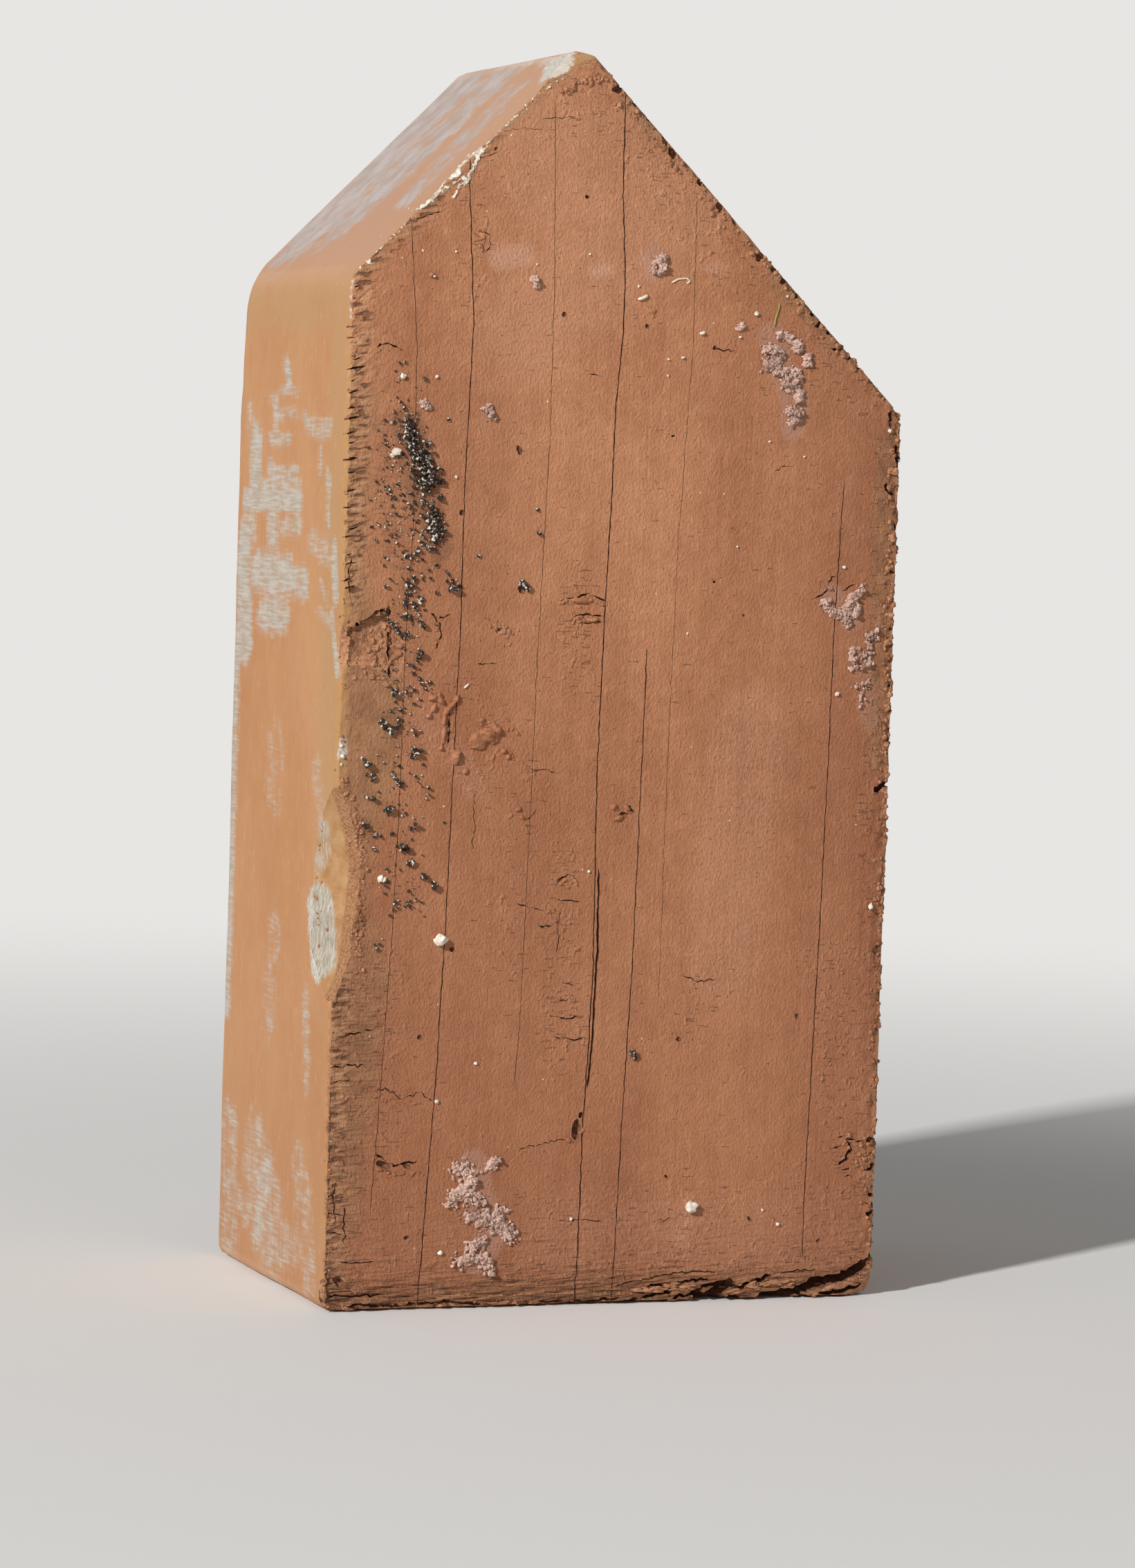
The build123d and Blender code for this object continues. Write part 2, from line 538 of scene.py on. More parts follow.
def rock(place, size, seed, turn=0.0, coarse=0.35, level=3):
    """A lump out of round, in millimetres, as a cutter or a shape for crumbs."""
    clear_selection()
    bpy.ops.mesh.primitive_ico_sphere_add(subdivisions=level, radius=0.5, location=(0, 0, 0))
    piece = bpy.context.object
    piece.scale = Vector((1, 1, 1)) * MM
    settle()
    relief(piece, 0.42, coarse, seed, top=0.5)
    piece.scale = size
    piece.rotation_euler = (0, turn, 0)
    piece.location = Vector(place) * MM
    take(piece)
    settle()
    return piece


def resample(path, step):
    """Places at even steps along a path."""
    path = np.array(path, dtype=float)
    along = np.concatenate([[0], np.cumsum(np.linalg.norm(np.diff(path, axis=0), axis=1))])
    count = max(2, int(along[-1] / step) + 1)
    spots = np.linspace(0, along[-1], count)
    return np.stack([np.interp(spots, along, path[:, axis]) for axis in range(2)], axis=1)


def tube(name, path, radius, swell):
    """A closed six-sided tube along places in millimetres, its radius varied by swell."""
    curve = bpy.data.curves.new(name, "CURVE")
    curve.dimensions = "3D"
    curve.bevel_depth = radius * MM
    curve.bevel_resolution = 1
    curve.use_fill_caps = True
    spline = curve.splines.new("POLY")
    spline.points.add(len(path) - 1)
    for point, place, share in zip(spline.points, path, swell):
        point.co = (*(Vector(place) * MM), 1)
        point.radius = share
    take(new_object(name, curve))
    bpy.ops.object.convert(target="MESH")
    piece = bpy.context.object
    edit_whole(piece)
    bpy.ops.mesh.remove_doubles(threshold=1e-7)
    bpy.ops.mesh.normals_make_consistent(inside=False)
    clear_selection()
    return piece


def groove(tree, path, width, depth, seed, waver=0.05, step=1.1, blunt=(False, False), gaps=0.0):
    """Cutter for a line or crack in the front face, along a path of x and z."""
    dice = random.Random(seed)
    flat = resample(path, step)
    flat = flat + np.array([[dice.gauss(0, waver), dice.gauss(0, waver)] for _ in flat])
    swell = [dice.uniform(0.7, 1.2) * (0.3 if dice.random() < gaps else 1) for _ in flat]
    if not blunt[0]:
        swell[0] = 0.1
    if not blunt[1]:
        swell[-1] = 0.1
    heights = []
    for x, z in flat:
        hit, _ = touch(tree, "front", float(np.clip(x, LEFT + 0.3, RIGHT - 0.3)), float(max(z, 1)))
        heights.append(hit.y if hit is not None else FRONT + 0.2)
    radius = width / 2
    cutter = tube("score", [(x, 0, z) for x, z in flat], radius, swell)
    spots = places(cutter.data)
    nearest = np.argmin(np.linalg.norm(spots[:, None, ::2] - flat[None], axis=2), axis=1)
    spots[:, 1] = spots[:, 1] * depth / radius + np.array(heights)[nearest]
    cutter.data.vertices.foreach_set("co", (spots * MM).ravel())
    cutter.data.update()
    return cutter


def scoop_cutter(height, length, on_front, on_side, seed):
    """A rough cylinder that scoops a chip out of the left front arris, deepest at a height on it."""
    chord = math.hypot(on_front, on_side)
    outward = Vector((-on_side, -on_front, 0)) / chord
    along = Vector((on_front, -on_side, 0)) / chord
    bite = on_front * on_side / chord
    radius = ((length / 2) ** 2 + bite**2) / (2 * bite)
    clear_selection()
    bpy.ops.mesh.primitive_cylinder_add(vertices=180, radius=radius * MM, depth=26 * MM)
    cutter = bpy.context.object

    def lengthwise(a, b):
        across = np.hypot(a[:, 0], a[:, 1]) > radius - 0.1
        return (np.abs(a[:, 2] - b[:, 2]) > 1) & (a[:, 0] > radius * 0.7) & across

    divide(cutter, pick_edges, lengthwise, 32)
    relief(cutter, 7, 1.2, seed, top=0.5)
    relief(cutter, 1.8, 0.3, seed + 1, top=0.5)
    turn = Matrix((-outward, along.cross(-outward), along)).transposed().to_4x4()
    take(cutter)
    arris = Vector((LEFT, FRONT, height))
    cutter.matrix_world = Matrix.Translation((arris + outward * (radius - bite)) * MM) @ turn
    settle()
    return cutter


def pocket(piece):
    """The spalled pocket beside the left front arris: flaky, deepest under its overhanging top."""
    foot, top, depth = 107.6, 119.8, 2.0
    cutter = block("pocket", (-49.6, FRONT - 1, foot), (-42.0, FRONT + depth, top))
    edit_whole(cutter)
    for place, normal in (
        ((0, FRONT + depth, top), (0, top - foot, -(depth - 0.3))),
        ((-46.8, 0, 117.9), (-3.1, 0, 5.8)),
    ):
        slice_off(Vector(place) * MM, normal)
        bpy.ops.mesh.select_all(action="SELECT")
    bpy.ops.mesh.subdivide(number_cuts=28)
    clear_selection()
    relief(cutter, 4.5, 1.2, 21, top=0.5)
    relief(cutter, 1, 1.9, 22, stretch=(0.6, 0.9, 1.3), lean=26, top=0.5, contrast=1.8)
    lobe = rock((-41.2, FRONT - 0.1, 111.6), (3.8, 1.5, 8.4), 24, turn=0.1)
    side = rock((-51.6, FRONT - 0.2, 112.6), (4.4, 3.6, 10.5), 23)
    carve(piece, [cutter, lobe, side], "broken")


# Lines that were dragged along the front face while the clay was soft: path, width, depth, and
# whether each end stays blunt
DRAG_LINES = (
    (
        (
            (-30.3, 196.9), (-30.6, 193.6), (-29.0, 168.3), (-29.8, 141.3), (-29.8, 115.5),
            (-30.4, 89.0), (-30.9, 66.7), (-31.8, 39.9), (-32.8, 21.7), (-33.8, 3.9), (-34, -1),
        ),
        0.24, 0.45, (True, True),
    ),
    (
        (
            (-2.8, 209.9), (-2.8, 191.6), (-1.9, 178.3), (-1.9, 167.5), (-2.8, 156.2),
            (-3.2, 135.8), (-3.7, 120.8), (-4.2, 90.3), (-3.8, 57.9), (-4.8, 30.1), (-5.1, 0.8),
            (-5.2, -1),
        ),
        0.28, 0.5, (True, True),
    ),
    (
        (
            (-3.4, 76), (-3.1, 62), (-3.6, 45), (-4.2, 38),
        ),
        0.5, 0.8, (False, False),
    ),
    (
        (
            (4.3, 113.7), (4.0, 92.7), (3.4, 57.9), (2.4, 32.5), (1.7, 2.1), (1.7, -1),
        ),
        0.24, 0.4, (True, True),
    ),
    (
        (
            (40.1, 144.0), (39.2, 119.3), (38.8, 88.2), (38.0, 52.6), (37.1, 16.6), (37.2, 7.3),
        ),
        0.24, 0.4, (False, False),
    ),
    (
        (
            (-40.7, 186.0), (-39.0, 164.3), (-38.8, 132.4), (-39.5, 115.9), (-39.8, 85.6),
            (-40.4, 65.1), (-41.8, 35.7), (-42.9, 16.9),
        ),
        0.15, 0.16, (False, False),
    ),
    (
        (
            (-15.6, 207.1), (-14.7, 175.0), (-14.7, 150.2), (-15.7, 113.6), (-16.1, 87.8),
            (-16.9, 50.5), (-17.6, 37.8),
        ),
        0.13, 0.14, (False, False),
    ),
    (
        (
            (10.8, 192.0), (11.0, 165.7), (9.4, 132.8), (8.8, 95.2), (8.4, 52.8),
        ),
        0.11, 0.12, (False, False),
    ),
)

# Cracks and tears in the front face: path, width and depth
CRACKS = (
    (((-46.2, 164.0), (-44.4, 164.4), (-42.2, 163.9)), 0.5, 0.7),
    (((-49.4, 116.3), (-47.0, 117.6), (-44.3, 119.4), (-42.7, 119.3)), 0.7, 1.4),
    (((-42.7, 119.3), (-42.2, 117.0), (-42.6, 113.5), (-42.3, 108.2)), 0.6, 1.6),
    (((-35.3, 119.2), (-33.9, 118.1), (-33.3, 116.0), (-34.0, 112.9)), 0.4, 0.5),
    (((-33.9, 118.1), (-31.4, 119.1)), 0.35, 0.45),
    (((-32.7, 104.4), (-31.3, 101.6), (-31.3, 97.0)), 0.5, 0.6),
    (((-28.1, 183.9), (-26.5, 183.4), (-26.6, 181.4), (-27.7, 180.2)), 0.3, 0.4),
    (((-11.8, 121.9), (-8.6, 122.4), (-6.9, 123.1), (-3.6, 122.1)), 0.4, 0.6),
    (((-9.9, 118.8), (-7.3, 119.6), (-4.0, 119.4)), 0.4, 0.5),
    (((-8.3, 117.9), (-6.4, 118.2), (-4.1, 118.2)), 0.3, 0.4),
    (((-26.8, 110.6), (-24.6, 111.0), (-22.7, 110.8)), 0.25, 0.3),
    (((-17.1, 93.0), (-14.4, 92.9), (-11.5, 92.6)), 0.22, 0.3),
    (((-26.4, 88.8), (-26.3, 78.8)), 0.18, 0.22),
    (((-0.8, 83.6), (0.4, 85.5), (1.6, 85.2), (2.8, 85.8), (1.6, 86.9)), 0.4, 0.6),
    (((-16.9, 84.2), (-15.6, 85.2), (-14.9, 86.4)), 0.35, 0.4),
    (((-43.0, 37.7), (-40.6, 38.3), (-38.1, 36.5), (-34.4, 37.6), (-32.2, 35.8)), 0.3, 0.4),
    (((-42.2, 27.0), (-40.4, 25.9), (-38.7, 24.8), (-37.1, 25.3), (-34.6, 25.6)), 0.5, 0.7),
    (((39.3, 127.1), (37.8, 126.5), (37.5, 124.7), (36.6, 123.8), (34.6, 123.0)), 0.4, 0.6),
    (((37.5, 124.6), (39.4, 124.3)), 0.25, 0.4),
    (((40.0, 124.4), (41.5, 125.3), (42.9, 126.0)), 0.35, 0.5),
    (((-11.3, 73.0), (-10.0, 74.3), (-8.6, 74.9), (-7.2, 73.9)), 0.45, 0.6),
    (((-11.0, 70.6), (-6.6, 70.2)), 0.3, 0.35),
    (((-18.2, 69.9), (-15.8, 69.3), (-13.0, 68.4)), 0.3, 0.3),
    (((-13.9, 65.9), (-11.6, 66.1)), 0.5, 0.6),
    (((-10.3, 68.8), (-10.5, 61.4)), 0.22, 0.25),
    (((-11.5, 50.6), (-8.5, 50.0), (-5.0, 50.4)), 0.35, 0.4),
    (((-11.0, 46.9), (-7.6, 46.2), (-4.6, 46.8)), 0.4, 0.5),
    (((-9.4, 56.3), (-7.0, 55.8)), 0.3, 0.35),
    (((-10.2, 53.2), (-8.0, 53.5)), 0.3, 0.35),
    (((12.6, 57.4), (15.8, 56.2), (19.0, 56.6)), 0.3, 0.3),
    (((-20.9, 147.9), (-19.2, 147.0)), 0.45, 0.5),
    (((-8.4, 160.6), (-5.4, 160.4)), 0.25, 0.3),
    (((27.0, 145.2), (28.8, 145.9), (30.6, 146.1)), 0.3, 0.35),
    (((14.6, 166.0), (15.8, 165.6), (18.6, 165.9)), 0.3, 0.4),
    (((-41.6, 185.3), (-38.6, 186.0), (-35.7, 186.8)), 0.25, 0.35),
    (((-29.4, 196.1), (-27.3, 196.8), (-25.3, 197.7)), 0.22, 0.3),
    (((-18.2, 203.4), (-15.4, 203.7), (-12.5, 204.1)), 0.15, 0.2),
    (((-24.8, 201.1), (-21.0, 201.6), (-15.3, 201.8)), 0.12, 0.15),
    (((-16.6, 27.1), (-11.9, 28.4), (-7.8, 29.0)), 0.22, 0.3),
    (((-8.7, 14.8), (-4.6, 14.9), (-0.5, 14.6)), 0.2, 0.25),
    (((8.5, 14.3), (14.0, 15.2)), 0.18, 0.22),
    (((-50.4, 46.7), (-46.0, 47.9), (-41.5, 49.0)), 0.35, 0.5),
    (((-50.8, 41.8), (-47.6, 42.4), (-44.6, 42.0)), 0.4, 0.5),
    (((-50.6, 39.4), (-47.2, 39.8)), 0.3, 0.4),
    (((-49.2, 22.6), (-49.4, 19.0), (-49.0, 15.6)), 0.35, 0.5),
    (((-47.5, 18.1), (-47.3, 11.8)), 0.35, 0.5),
    (((-50.9, 20.2), (-47.4, 19.6)), 0.3, 0.4),
    (((-50.9, 17.0), (-47.5, 16.8)), 0.3, 0.4),
    (((-50.9, 13.8), (-47.3, 13.4)), 0.3, 0.4),
    (((-50.1, 6.9), (-51.4, 4.2), (-50.6, 1.4)), 0.6, 1.0),
    (((-48.6, 9.0), (-45.6, 8.2), (-42.0, 8.6)), 0.3, 0.4),
    (((-49.6, 128.2), (-49.8, 124.2), (-49.4, 120.6)), 0.35, 0.6),
)

# Deep notches in the rough clay beside the right front arris: path, width and depth
NOTCHES = (
    (((48.7, 27.3), (49.8, 28.1), (51.2, 28.8)), 1.3, 1.8),
    (((44.8, 27.9), (45.4, 27.0), (46.3, 26.0)), 0.8, 1.5),
    (((46.0, 26.4), (45.0, 25.4), (44.5, 24.5), (43.4, 23.6)), 0.8, 1.5),
    (((44.6, 28.0), (46.6, 28.4), (48.4, 27.6)), 0.35, 0.6),
    (((43.0, 28.5), (44.2, 28.6)), 0.6, 0.8),
    (((46.2, 28.7), (46.8, 29.5)), 0.5, 0.8),
    (((42.6, 26.7), (44.1, 27.1)), 0.35, 0.6),
    (((48.8, 22.5), (50.0, 23.1), (51.4, 23.9)), 1.0, 1.8),
    (((49.4, 21.1), (50.4, 21.6)), 0.6, 1.2),
    (((48.5, 19.6), (49.2, 20.2)), 0.6, 1.0),
    (((50.2, 19.6), (51.4, 20.7)), 0.9, 1.5),
    (((49.2, 18.9), (50.5, 17.7)), 1.0, 1.4),
    (((51.2, 19.8), (50.9, 17.7), (50.9, 15.9), (50.2, 14.8)), 1.2, 2.0),
    (((49.3, 15.4), (50.3, 14.2)), 0.8, 1.4),
    (((48.7, 16.7), (49.7, 17.0)), 0.4, 0.7),
    (((44.1, 22.6), (45.6, 23.1)), 0.4, 0.6),
    (((44.7, 21.6), (46.0, 22.1)), 0.4, 0.6),
    (((46.4, 7.6), (46.4, 6.4)), 0.5, 0.7),
    (((51.4, 9.4), (50.6, 7.4), (48.9, 6.2), (47.6, 5.3), (45.6, 4.4)), 1.3, 2.8),
    (((48.4, 156.2), (48.5, 152.2)), 0.8, 1.4),
    (((49.8, 150.5), (50.6, 146.2)), 0.9, 1.6),
    (((47.9, 143.6), (49.8, 140.9)), 1.1, 1.6),
    (((50.1, 136.6), (51.0, 134.8)), 0.9, 1.4),
    (((49.4, 128.4), (51.0, 127.7)), 0.8, 1.2),
    (((49.6, 118.6), (51.0, 117.8)), 0.8, 1.2),
    (((49.8, 108.6), (51.0, 107.8)), 0.8, 1.2),
    (((29.2, 175.0), (31.4, 176.0)), 1.0, 1.6),
    (((32.6, 172.4), (34.6, 173.3)), 0.9, 1.5),
    (((33.4, 170.6), (36.2, 171.5)), 0.8, 1.4),
    (((35.8, 169.0), (38.2, 169.9)), 0.9, 1.5),
    (((37.2, 166.4), (40.6, 167.2)), 0.8, 1.4),
    (((39.6, 165.0), (42.0, 165.4)), 0.5, 0.9),
    (((41.6, 163.6), (43.4, 164.0)), 0.5, 0.9),
    (((-4.9, 209.8), (-2.0, 209.7), (-3.4, 211.4)), 0.9, 1.6),
    (((-1.9, 208.4), (0.5, 207.3)), 1.0, 1.6),
    (((16.4, 190.6), (17.8, 189.4)), 0.8, 1.4),
    (((20.2, 186.6), (22.0, 185.4)), 0.9, 1.5),
    (((11.8, 195.0), (13.0, 194.0)), 0.7, 1.2),
    (((0.4, 205.5), (2.4, 206.0)), 0.9, 1.5),
    (((1.8, 204.2), (4.0, 203.8)), 0.8, 1.4),
    (((47.8, 90.0), (49.2, 90.2), (51.2, 91.0)), 1.3, 2.6),
    (((49.4, 101.7), (51.0, 100.2)), 0.8, 1.4),
)

# Hollows where layers were torn off the foot of the front face: path, height and depth
HOLLOWS = (
    (((6.3, 2.0), (8.9, 2.8), (14.3, 3.5), (17.3, 3.9), (20.4, 3.8)), 0.55, 1.6),
    (((7.4, 0.8), (9.0, 1.5), (12.4, 1.8), (12.6, 1.0)), 0.8, 2.6),
    (((0.6, -0.2), (4.0, 0.2), (6.8, 0.9)), 1.1, 2.4),
    (((11.0, 0.8), (12.3, 0.1)), 0.9, 2.6),
    (((13.2, 0.7), (16.8, 1.6), (19.1, 2.8), (22.5, 3.3), (24.4, 3.5)), 0.9, 3.2),
    (((16.8, 0.0), (20.2, 1.2), (22.6, 2.3), (24.6, 3.2)), 2.8, 5.2),
    (((16.4, -0.8), (21.5, -0.1), (26.4, -0.6)), 3.2, 5.2),
    (((3.0, -0.6), (9.0, -0.5), (17.0, -0.8)), 1.8, 3.6),
    (((24.0, 2.2), (26.6, 2.6), (27.9, 3.4), (31.5, 4.2)), 1.1, 3.6),
    (((28.6, 0.4), (32.1, 0.8), (36.3, 1.4), (39.8, 2.4)), 2.0, 4.6),
    (((28.4, -1.0), (34.0, -0.6), (40.8, -1.0)), 3.0, 5.2),
    (((41.0, -0.8), (46.0, -0.6), (50.6, 0.4)), 1.8, 3.4),
    (((38.2, 2.2), (42.0, 3.1), (45.1, 3.7), (47.5, 4.7), (49.8, 6.4)), 2.5, 4.8),
    (((40.6, 0.6), (44.2, 1.2), (47.4, 1.7), (49.4, 2.2)), 1.1, 3.4),
    (((-12, 0.9), (-5, 0.6), (3, 1.0)), 0.7, 1.2),
    (((-46, 1.2), (-38, 0.8), (-30, 1.2), (-22, 0.8)), 0.7, 1.0),
    (((-50, 3.0), (-44, 2.6), (-40, 2.9)), 0.4, 0.8),
    (((33, 4.6), (37, 5.2), (40, 4.9)), 0.3, 0.6),
    (((2.0, 3.2), (6.4, 3.9), (10.6, 4.9), (17.4, 5.4), (21.0, 5.0)), 0.3, 0.5),
)


def rib_gaps():
    """Short level gaps between the ribs of the left front arris: path, width and depth."""
    dice = random.Random(12)
    gaps = []
    height = 123.0
    while height < 174:
        start, length = LEFT + dice.uniform(-0.2, 1.0), dice.uniform(0.9, 3.0)
        path = ((start, height), (start + length, height + 0.26 * length))
        gaps.append((path, dice.uniform(0.28, 0.5), dice.uniform(0.4, 0.8)))
        height += dice.uniform(1.3, 3.6)
    return gaps


# Bites out of the edges: place, and size across, deep and tall
BITES = (
    ((50.4, FRONT, 89.9), (3.2, 2.6, 1.7)),
    ((50.2, FRONT, 67.7), (3.0, 2.4, 1.1)),
    ((50.4, FRONT, 61.3), (3.8, 3.0, 2.6)),
    ((51.2, FRONT, 152.2), (2.6, 2.0, 1.8)),
    ((51.4, FRONT, 142.4), (2.2, 2.0, 2.2)),
    ((51.4, FRONT, 133.8), (2.0, 1.8, 1.6)),
    ((51.3, FRONT, 104.5), (1.8, 1.8, 1.6)),
    ((51.3, FRONT, 97.0), (1.6, 1.8, 1.2)),
    ((51.4, FRONT, 78.5), (1.4, 1.6, 1.4)),
    ((51.3, FRONT, 18.5), (1.6, 1.8, 1.6)),
    ((-3.9, FRONT + 0.6, 209.3), (2.6, 3.4, 1.5)),
    ((-0.9, FRONT + 0.6, 207.1), (1.6, 3.0, 1.3)),
    ((1.7, FRONT + 0.6, 204.6), (1.4, 3.0, 1.2)),
    ((4.9, FRONT + 0.6, 201.0), (2.1, 3.2, 1.7)),
    ((6.5, FRONT + 0.6, 198.9), (2.6, 3.6, 2.1)),
    ((11.4, FRONT + 0.6, 194.2), (1.4, 3.0, 1.3)),
    ((15.3, FRONT + 0.6, 190.4), (2.8, 3.6, 1.8)),
    ((23.1, FRONT + 0.6, 182.2), (2.6, 3.4, 1.8)),
    ((25.8, FRONT + 0.6, 180.2), (1.7, 3.2, 1.4)),
    ((27.6, FRONT + 0.6, 178.1), (2.0, 3.2, 1.3)),
    ((33.9, FRONT + 0.4, 173.0), (1.8, 3.0, 1.4)),
    ((45.3, FRONT + 0.4, 161.6), (2.0, 2.6, 1.7)),
    ((-51.4, FRONT, 134.0), (2.4, 2.4, 3.0)),
    ((-51.5, FRONT, 101.0), (1.6, 2.0, 3.0)),
    ((-51.4, FRONT, 34.0), (1.3, 1.6, 2.4)),
    ((-51.4, FRONT, 47.5), (1.2, 1.5, 1.8)),
    ((-51.5, FRONT, 1.2), (3.0, 3.4, 3.4)),
    ((-47.6, FRONT, -0.2), (3.2, 2.0, 1.8)),
    ((-31.0, FRONT, -0.3), (3.4, 1.8, 1.5)),
    ((-14.0, FRONT, -0.3), (4.4, 1.8, 1.4)),
    ((3.0, FRONT, -0.3), (3.8, 2.0, 1.6)),
)

# Pits in the front face: place across and up, size across and tall, and depth
PITS = (
    ((-6.0, 30.6), (1.7, 3.6), 1.3),
    ((-5.2, 33.2), (0.9, 1.2), 0.8),
    ((-40.8, 25.2), (2.8, 1.2), 0.9),
    ((-36.6, 24.9), (1.8, 0.9), 0.6),
    ((-48.0, 5.2), (2.6, 1.6), 1.0),
    ((-18.9, 123.6), (1.6, 1.4), 0.6),
    ((-20.2, 147.3), (1.8, 0.9), 0.5),
    ((7.8, 150.6), (0.4, 0.7), 0.5),
    ((16.3, 125.7), (0.5, 0.6), 0.5),
    ((15.0, 166.0), (0.9, 0.7), 0.5),
    ((-9.3, 190.7), (0.6, 0.9), 0.5),
    ((11.0, 22.2), (0.5, 0.9), 0.5),
    ((26.9, 14.4), (0.6, 1.3), 0.4),
    ((40.1, 10.3), (1.0, 0.6), 0.4),
    ((-36.3, 12.6), (1.0, 0.7), 0.5),
    ((-30.2, 136.4), (0.9, 1.1), 0.5),
    ((-29.6, 62.0), (1.0, 0.9), 0.5),
    ((1.0, 85.2), (1.3, 1.1), 0.4),
    ((12.4, 46.2), (1.1, 0.9), 0.4),
    ((-23.0, 116.6), (1.2, 1.0), 0.4),
    ((-12.8, 170.6), (1.0, 0.9), 0.35),
    ((2.4, 169.2), (0.8, 0.8), 0.4),
    ((34.6, 50.0), (1.2, 0.7), 0.35),
    ((-35.0, 47.0), (0.9, 0.9), 0.4),
    ((22.0, 120.0), (0.6, 0.6), 0.3),
    ((-26.0, 198.0), (0.8, 0.6), 0.3),
)


def break_up(piece):
    """The body's wear and damage, from the largest breaks to the finest lines."""
    crest_left, crest_right = CREST_X - CREST_WEAR_LEFT, CREST_X + CREST_WEAR_RIGHT
    corners = (
        (crest_left, FRONT, roof(crest_left)),
        (crest_right, FRONT, roof(crest_right)),
        (CREST_X, FRONT + CREST_WEAR_BACK, SHARP_CREST),
    )
    wear_plane(piece, corners, (34, 26, 12), grain=5, height=1.2, seed=31, finish="chip")
    corners = (
        (RIGHT - BREAK_ON_FRONT, FRONT, 0),
        (RIGHT, FRONT, BREAK_UP_ARRIS),
        (RIGHT, FRONT + BREAK_ON_SIDE, 0),
    )
    wear_plane(piece, corners, (30, 22, 12), grain=2.6, height=1.3, seed=32, finish="broken")
    carve(piece, [scoop_cutter(*scoop) for scoop in LEFT_CHIP], "chip")
    pocket(piece)
    wear_arrises(piece)
    tree = surface(piece)
    rocks = []
    for seed, (place, size) in enumerate((*BITES, *small_bites())):
        rocks.append(rock(place, size, 40 + seed, turn=0.3 * seed, coarse=0.6))
    carve(piece, rocks, "broken")
    holes = []
    for seed, ((x, z), (across, tall), depth) in enumerate(PITS):
        hit, _ = touch(tree, "front", x, z)
        holes.append(rock((x, hit.y, z), (across, 2 * depth, tall), 90 + seed, turn=0.2 * seed))
    carve(piece, holes, "cut_inside")
    lines = []
    for seed, (path, width, depth, blunt) in enumerate(DRAG_LINES):
        lines.append(groove(tree, path, width, depth, 130 + seed, blunt=blunt))
    # Each kind of line: its table, first seed, waver, step and share of it that breaks off
    for table, first, waver, step, gaps in (
        (CRACKS, 150, 0.14, 0.55, 0.35),
        (NOTCHES, 220, 0.18, 0.5, 0.25),
        (HOLLOWS, 260, 0.14, 0.7, 0.0),
        (rib_gaps(), 290, 0.06, 0.5, 0.0),
    ):
        for seed, (path, width, depth) in enumerate(table):
            cutter = groove(tree, path, width, depth, first + seed, waver=waver, step=step, gaps=gaps)
            lines.append(cutter)
    carve(piece, lines, "cut_inside")


def wear_arrises(piece):
    """Nibble the front arrises, and wear the back of the left shoulder."""
    peak = (CREST_X, FRONT, SHARP_CREST)
    left_shoulder, right_shoulder = (LEFT, FRONT, roof(LEFT)), (RIGHT, FRONT, roof(RIGHT))
    # Each arris: its two ends, the way in, the mean bite, how far the bite varies, its grain
    # and the finish that it leaves
    arrises = (
        ((RIGHT, FRONT, -2), right_shoulder, (-1, 1, 0), 1.05, 2.0, 2.2, "broken"),
        (peak, right_shoulder, (-1, 1.6, -1), 1.0, 1.8, 1.6, "broken"),
        (left_shoulder, peak, (1, 1.6, -1), 0.75, 1.2, 2.4, "chip"),
        ((LEFT, FRONT, -2), left_shoulder, (1, 1, 0), 0.75, 1.2, 2.4, "chip"),
        ((LEFT - 2, FRONT, 0), (12, FRONT, 0), (0, 1, 1), 0.9, 1.4, 2.4, "broken"),
        ((8, FRONT, 0), (RIGHT + 2, FRONT, 0), (0, 1, 0.8), 1.0, 1.8, 3.0, "broken"),
    )
    for seed, (start, end, inward, bite, height, grain, finish) in enumerate(arrises):
        carve(piece, [worn_arris(start, end, inward, bite, height, grain, 33 + seed)], finish)
    shoulder = roof(LEFT)
    for forward, down, up_slant, seed in SHOULDER_WEAR:
        corners = (
            (LEFT, BACK - forward, shoulder),
            (LEFT, BACK, shoulder - down),
            (LEFT + up_slant, BACK, roof(LEFT + up_slant)),
        )
        wear_plane(piece, corners, (60, 36, 12), grain=6, height=0.8, seed=seed, finish="clay")


def small_bites():
    """Small bites strewn down the right slant, along the foot and up the right arris."""
    dice = random.Random(5)
    bites = []
    for number in range(22):
        x = CREST_X + 2.2 + number * 2.72 + dice.uniform(-0.9, 0.9)
        wide = dice.uniform(0.8, 1.7)
        size = (wide, dice.uniform(1.4, 2.4), wide * dice.uniform(0.7, 1.0))
        bites.append(((x, FRONT, roof(x) - 0.2), size))
    for number in range(13):
        x = LEFT + 3 + number * 4.4 + dice.uniform(-1.6, 1.6)
        size = (dice.uniform(1.2, 3.2), dice.uniform(2.4, 3.4), dice.uniform(1.4, 2.6))
        bites.append(((x, FRONT + 0.3, 0.2), size))
    for _ in range(24):
        tall = 0.7 + 2.6 * dice.random() ** 2
        size = (dice.uniform(1.0, 2.8), dice.uniform(1.4, 2.6), tall)
        bites.append(((RIGHT + dice.uniform(-0.2, 0.5), FRONT, dice.uniform(8, 150)), size))
    return bites


# Materials


def srgb(red, green, blue):
    """A colour as seen, in steps of 255, turned into the renderer's own values."""
    return (*(((level / 255 + 0.055) / 1.055) ** 2.4 for level in (red, green, blue)), 1)


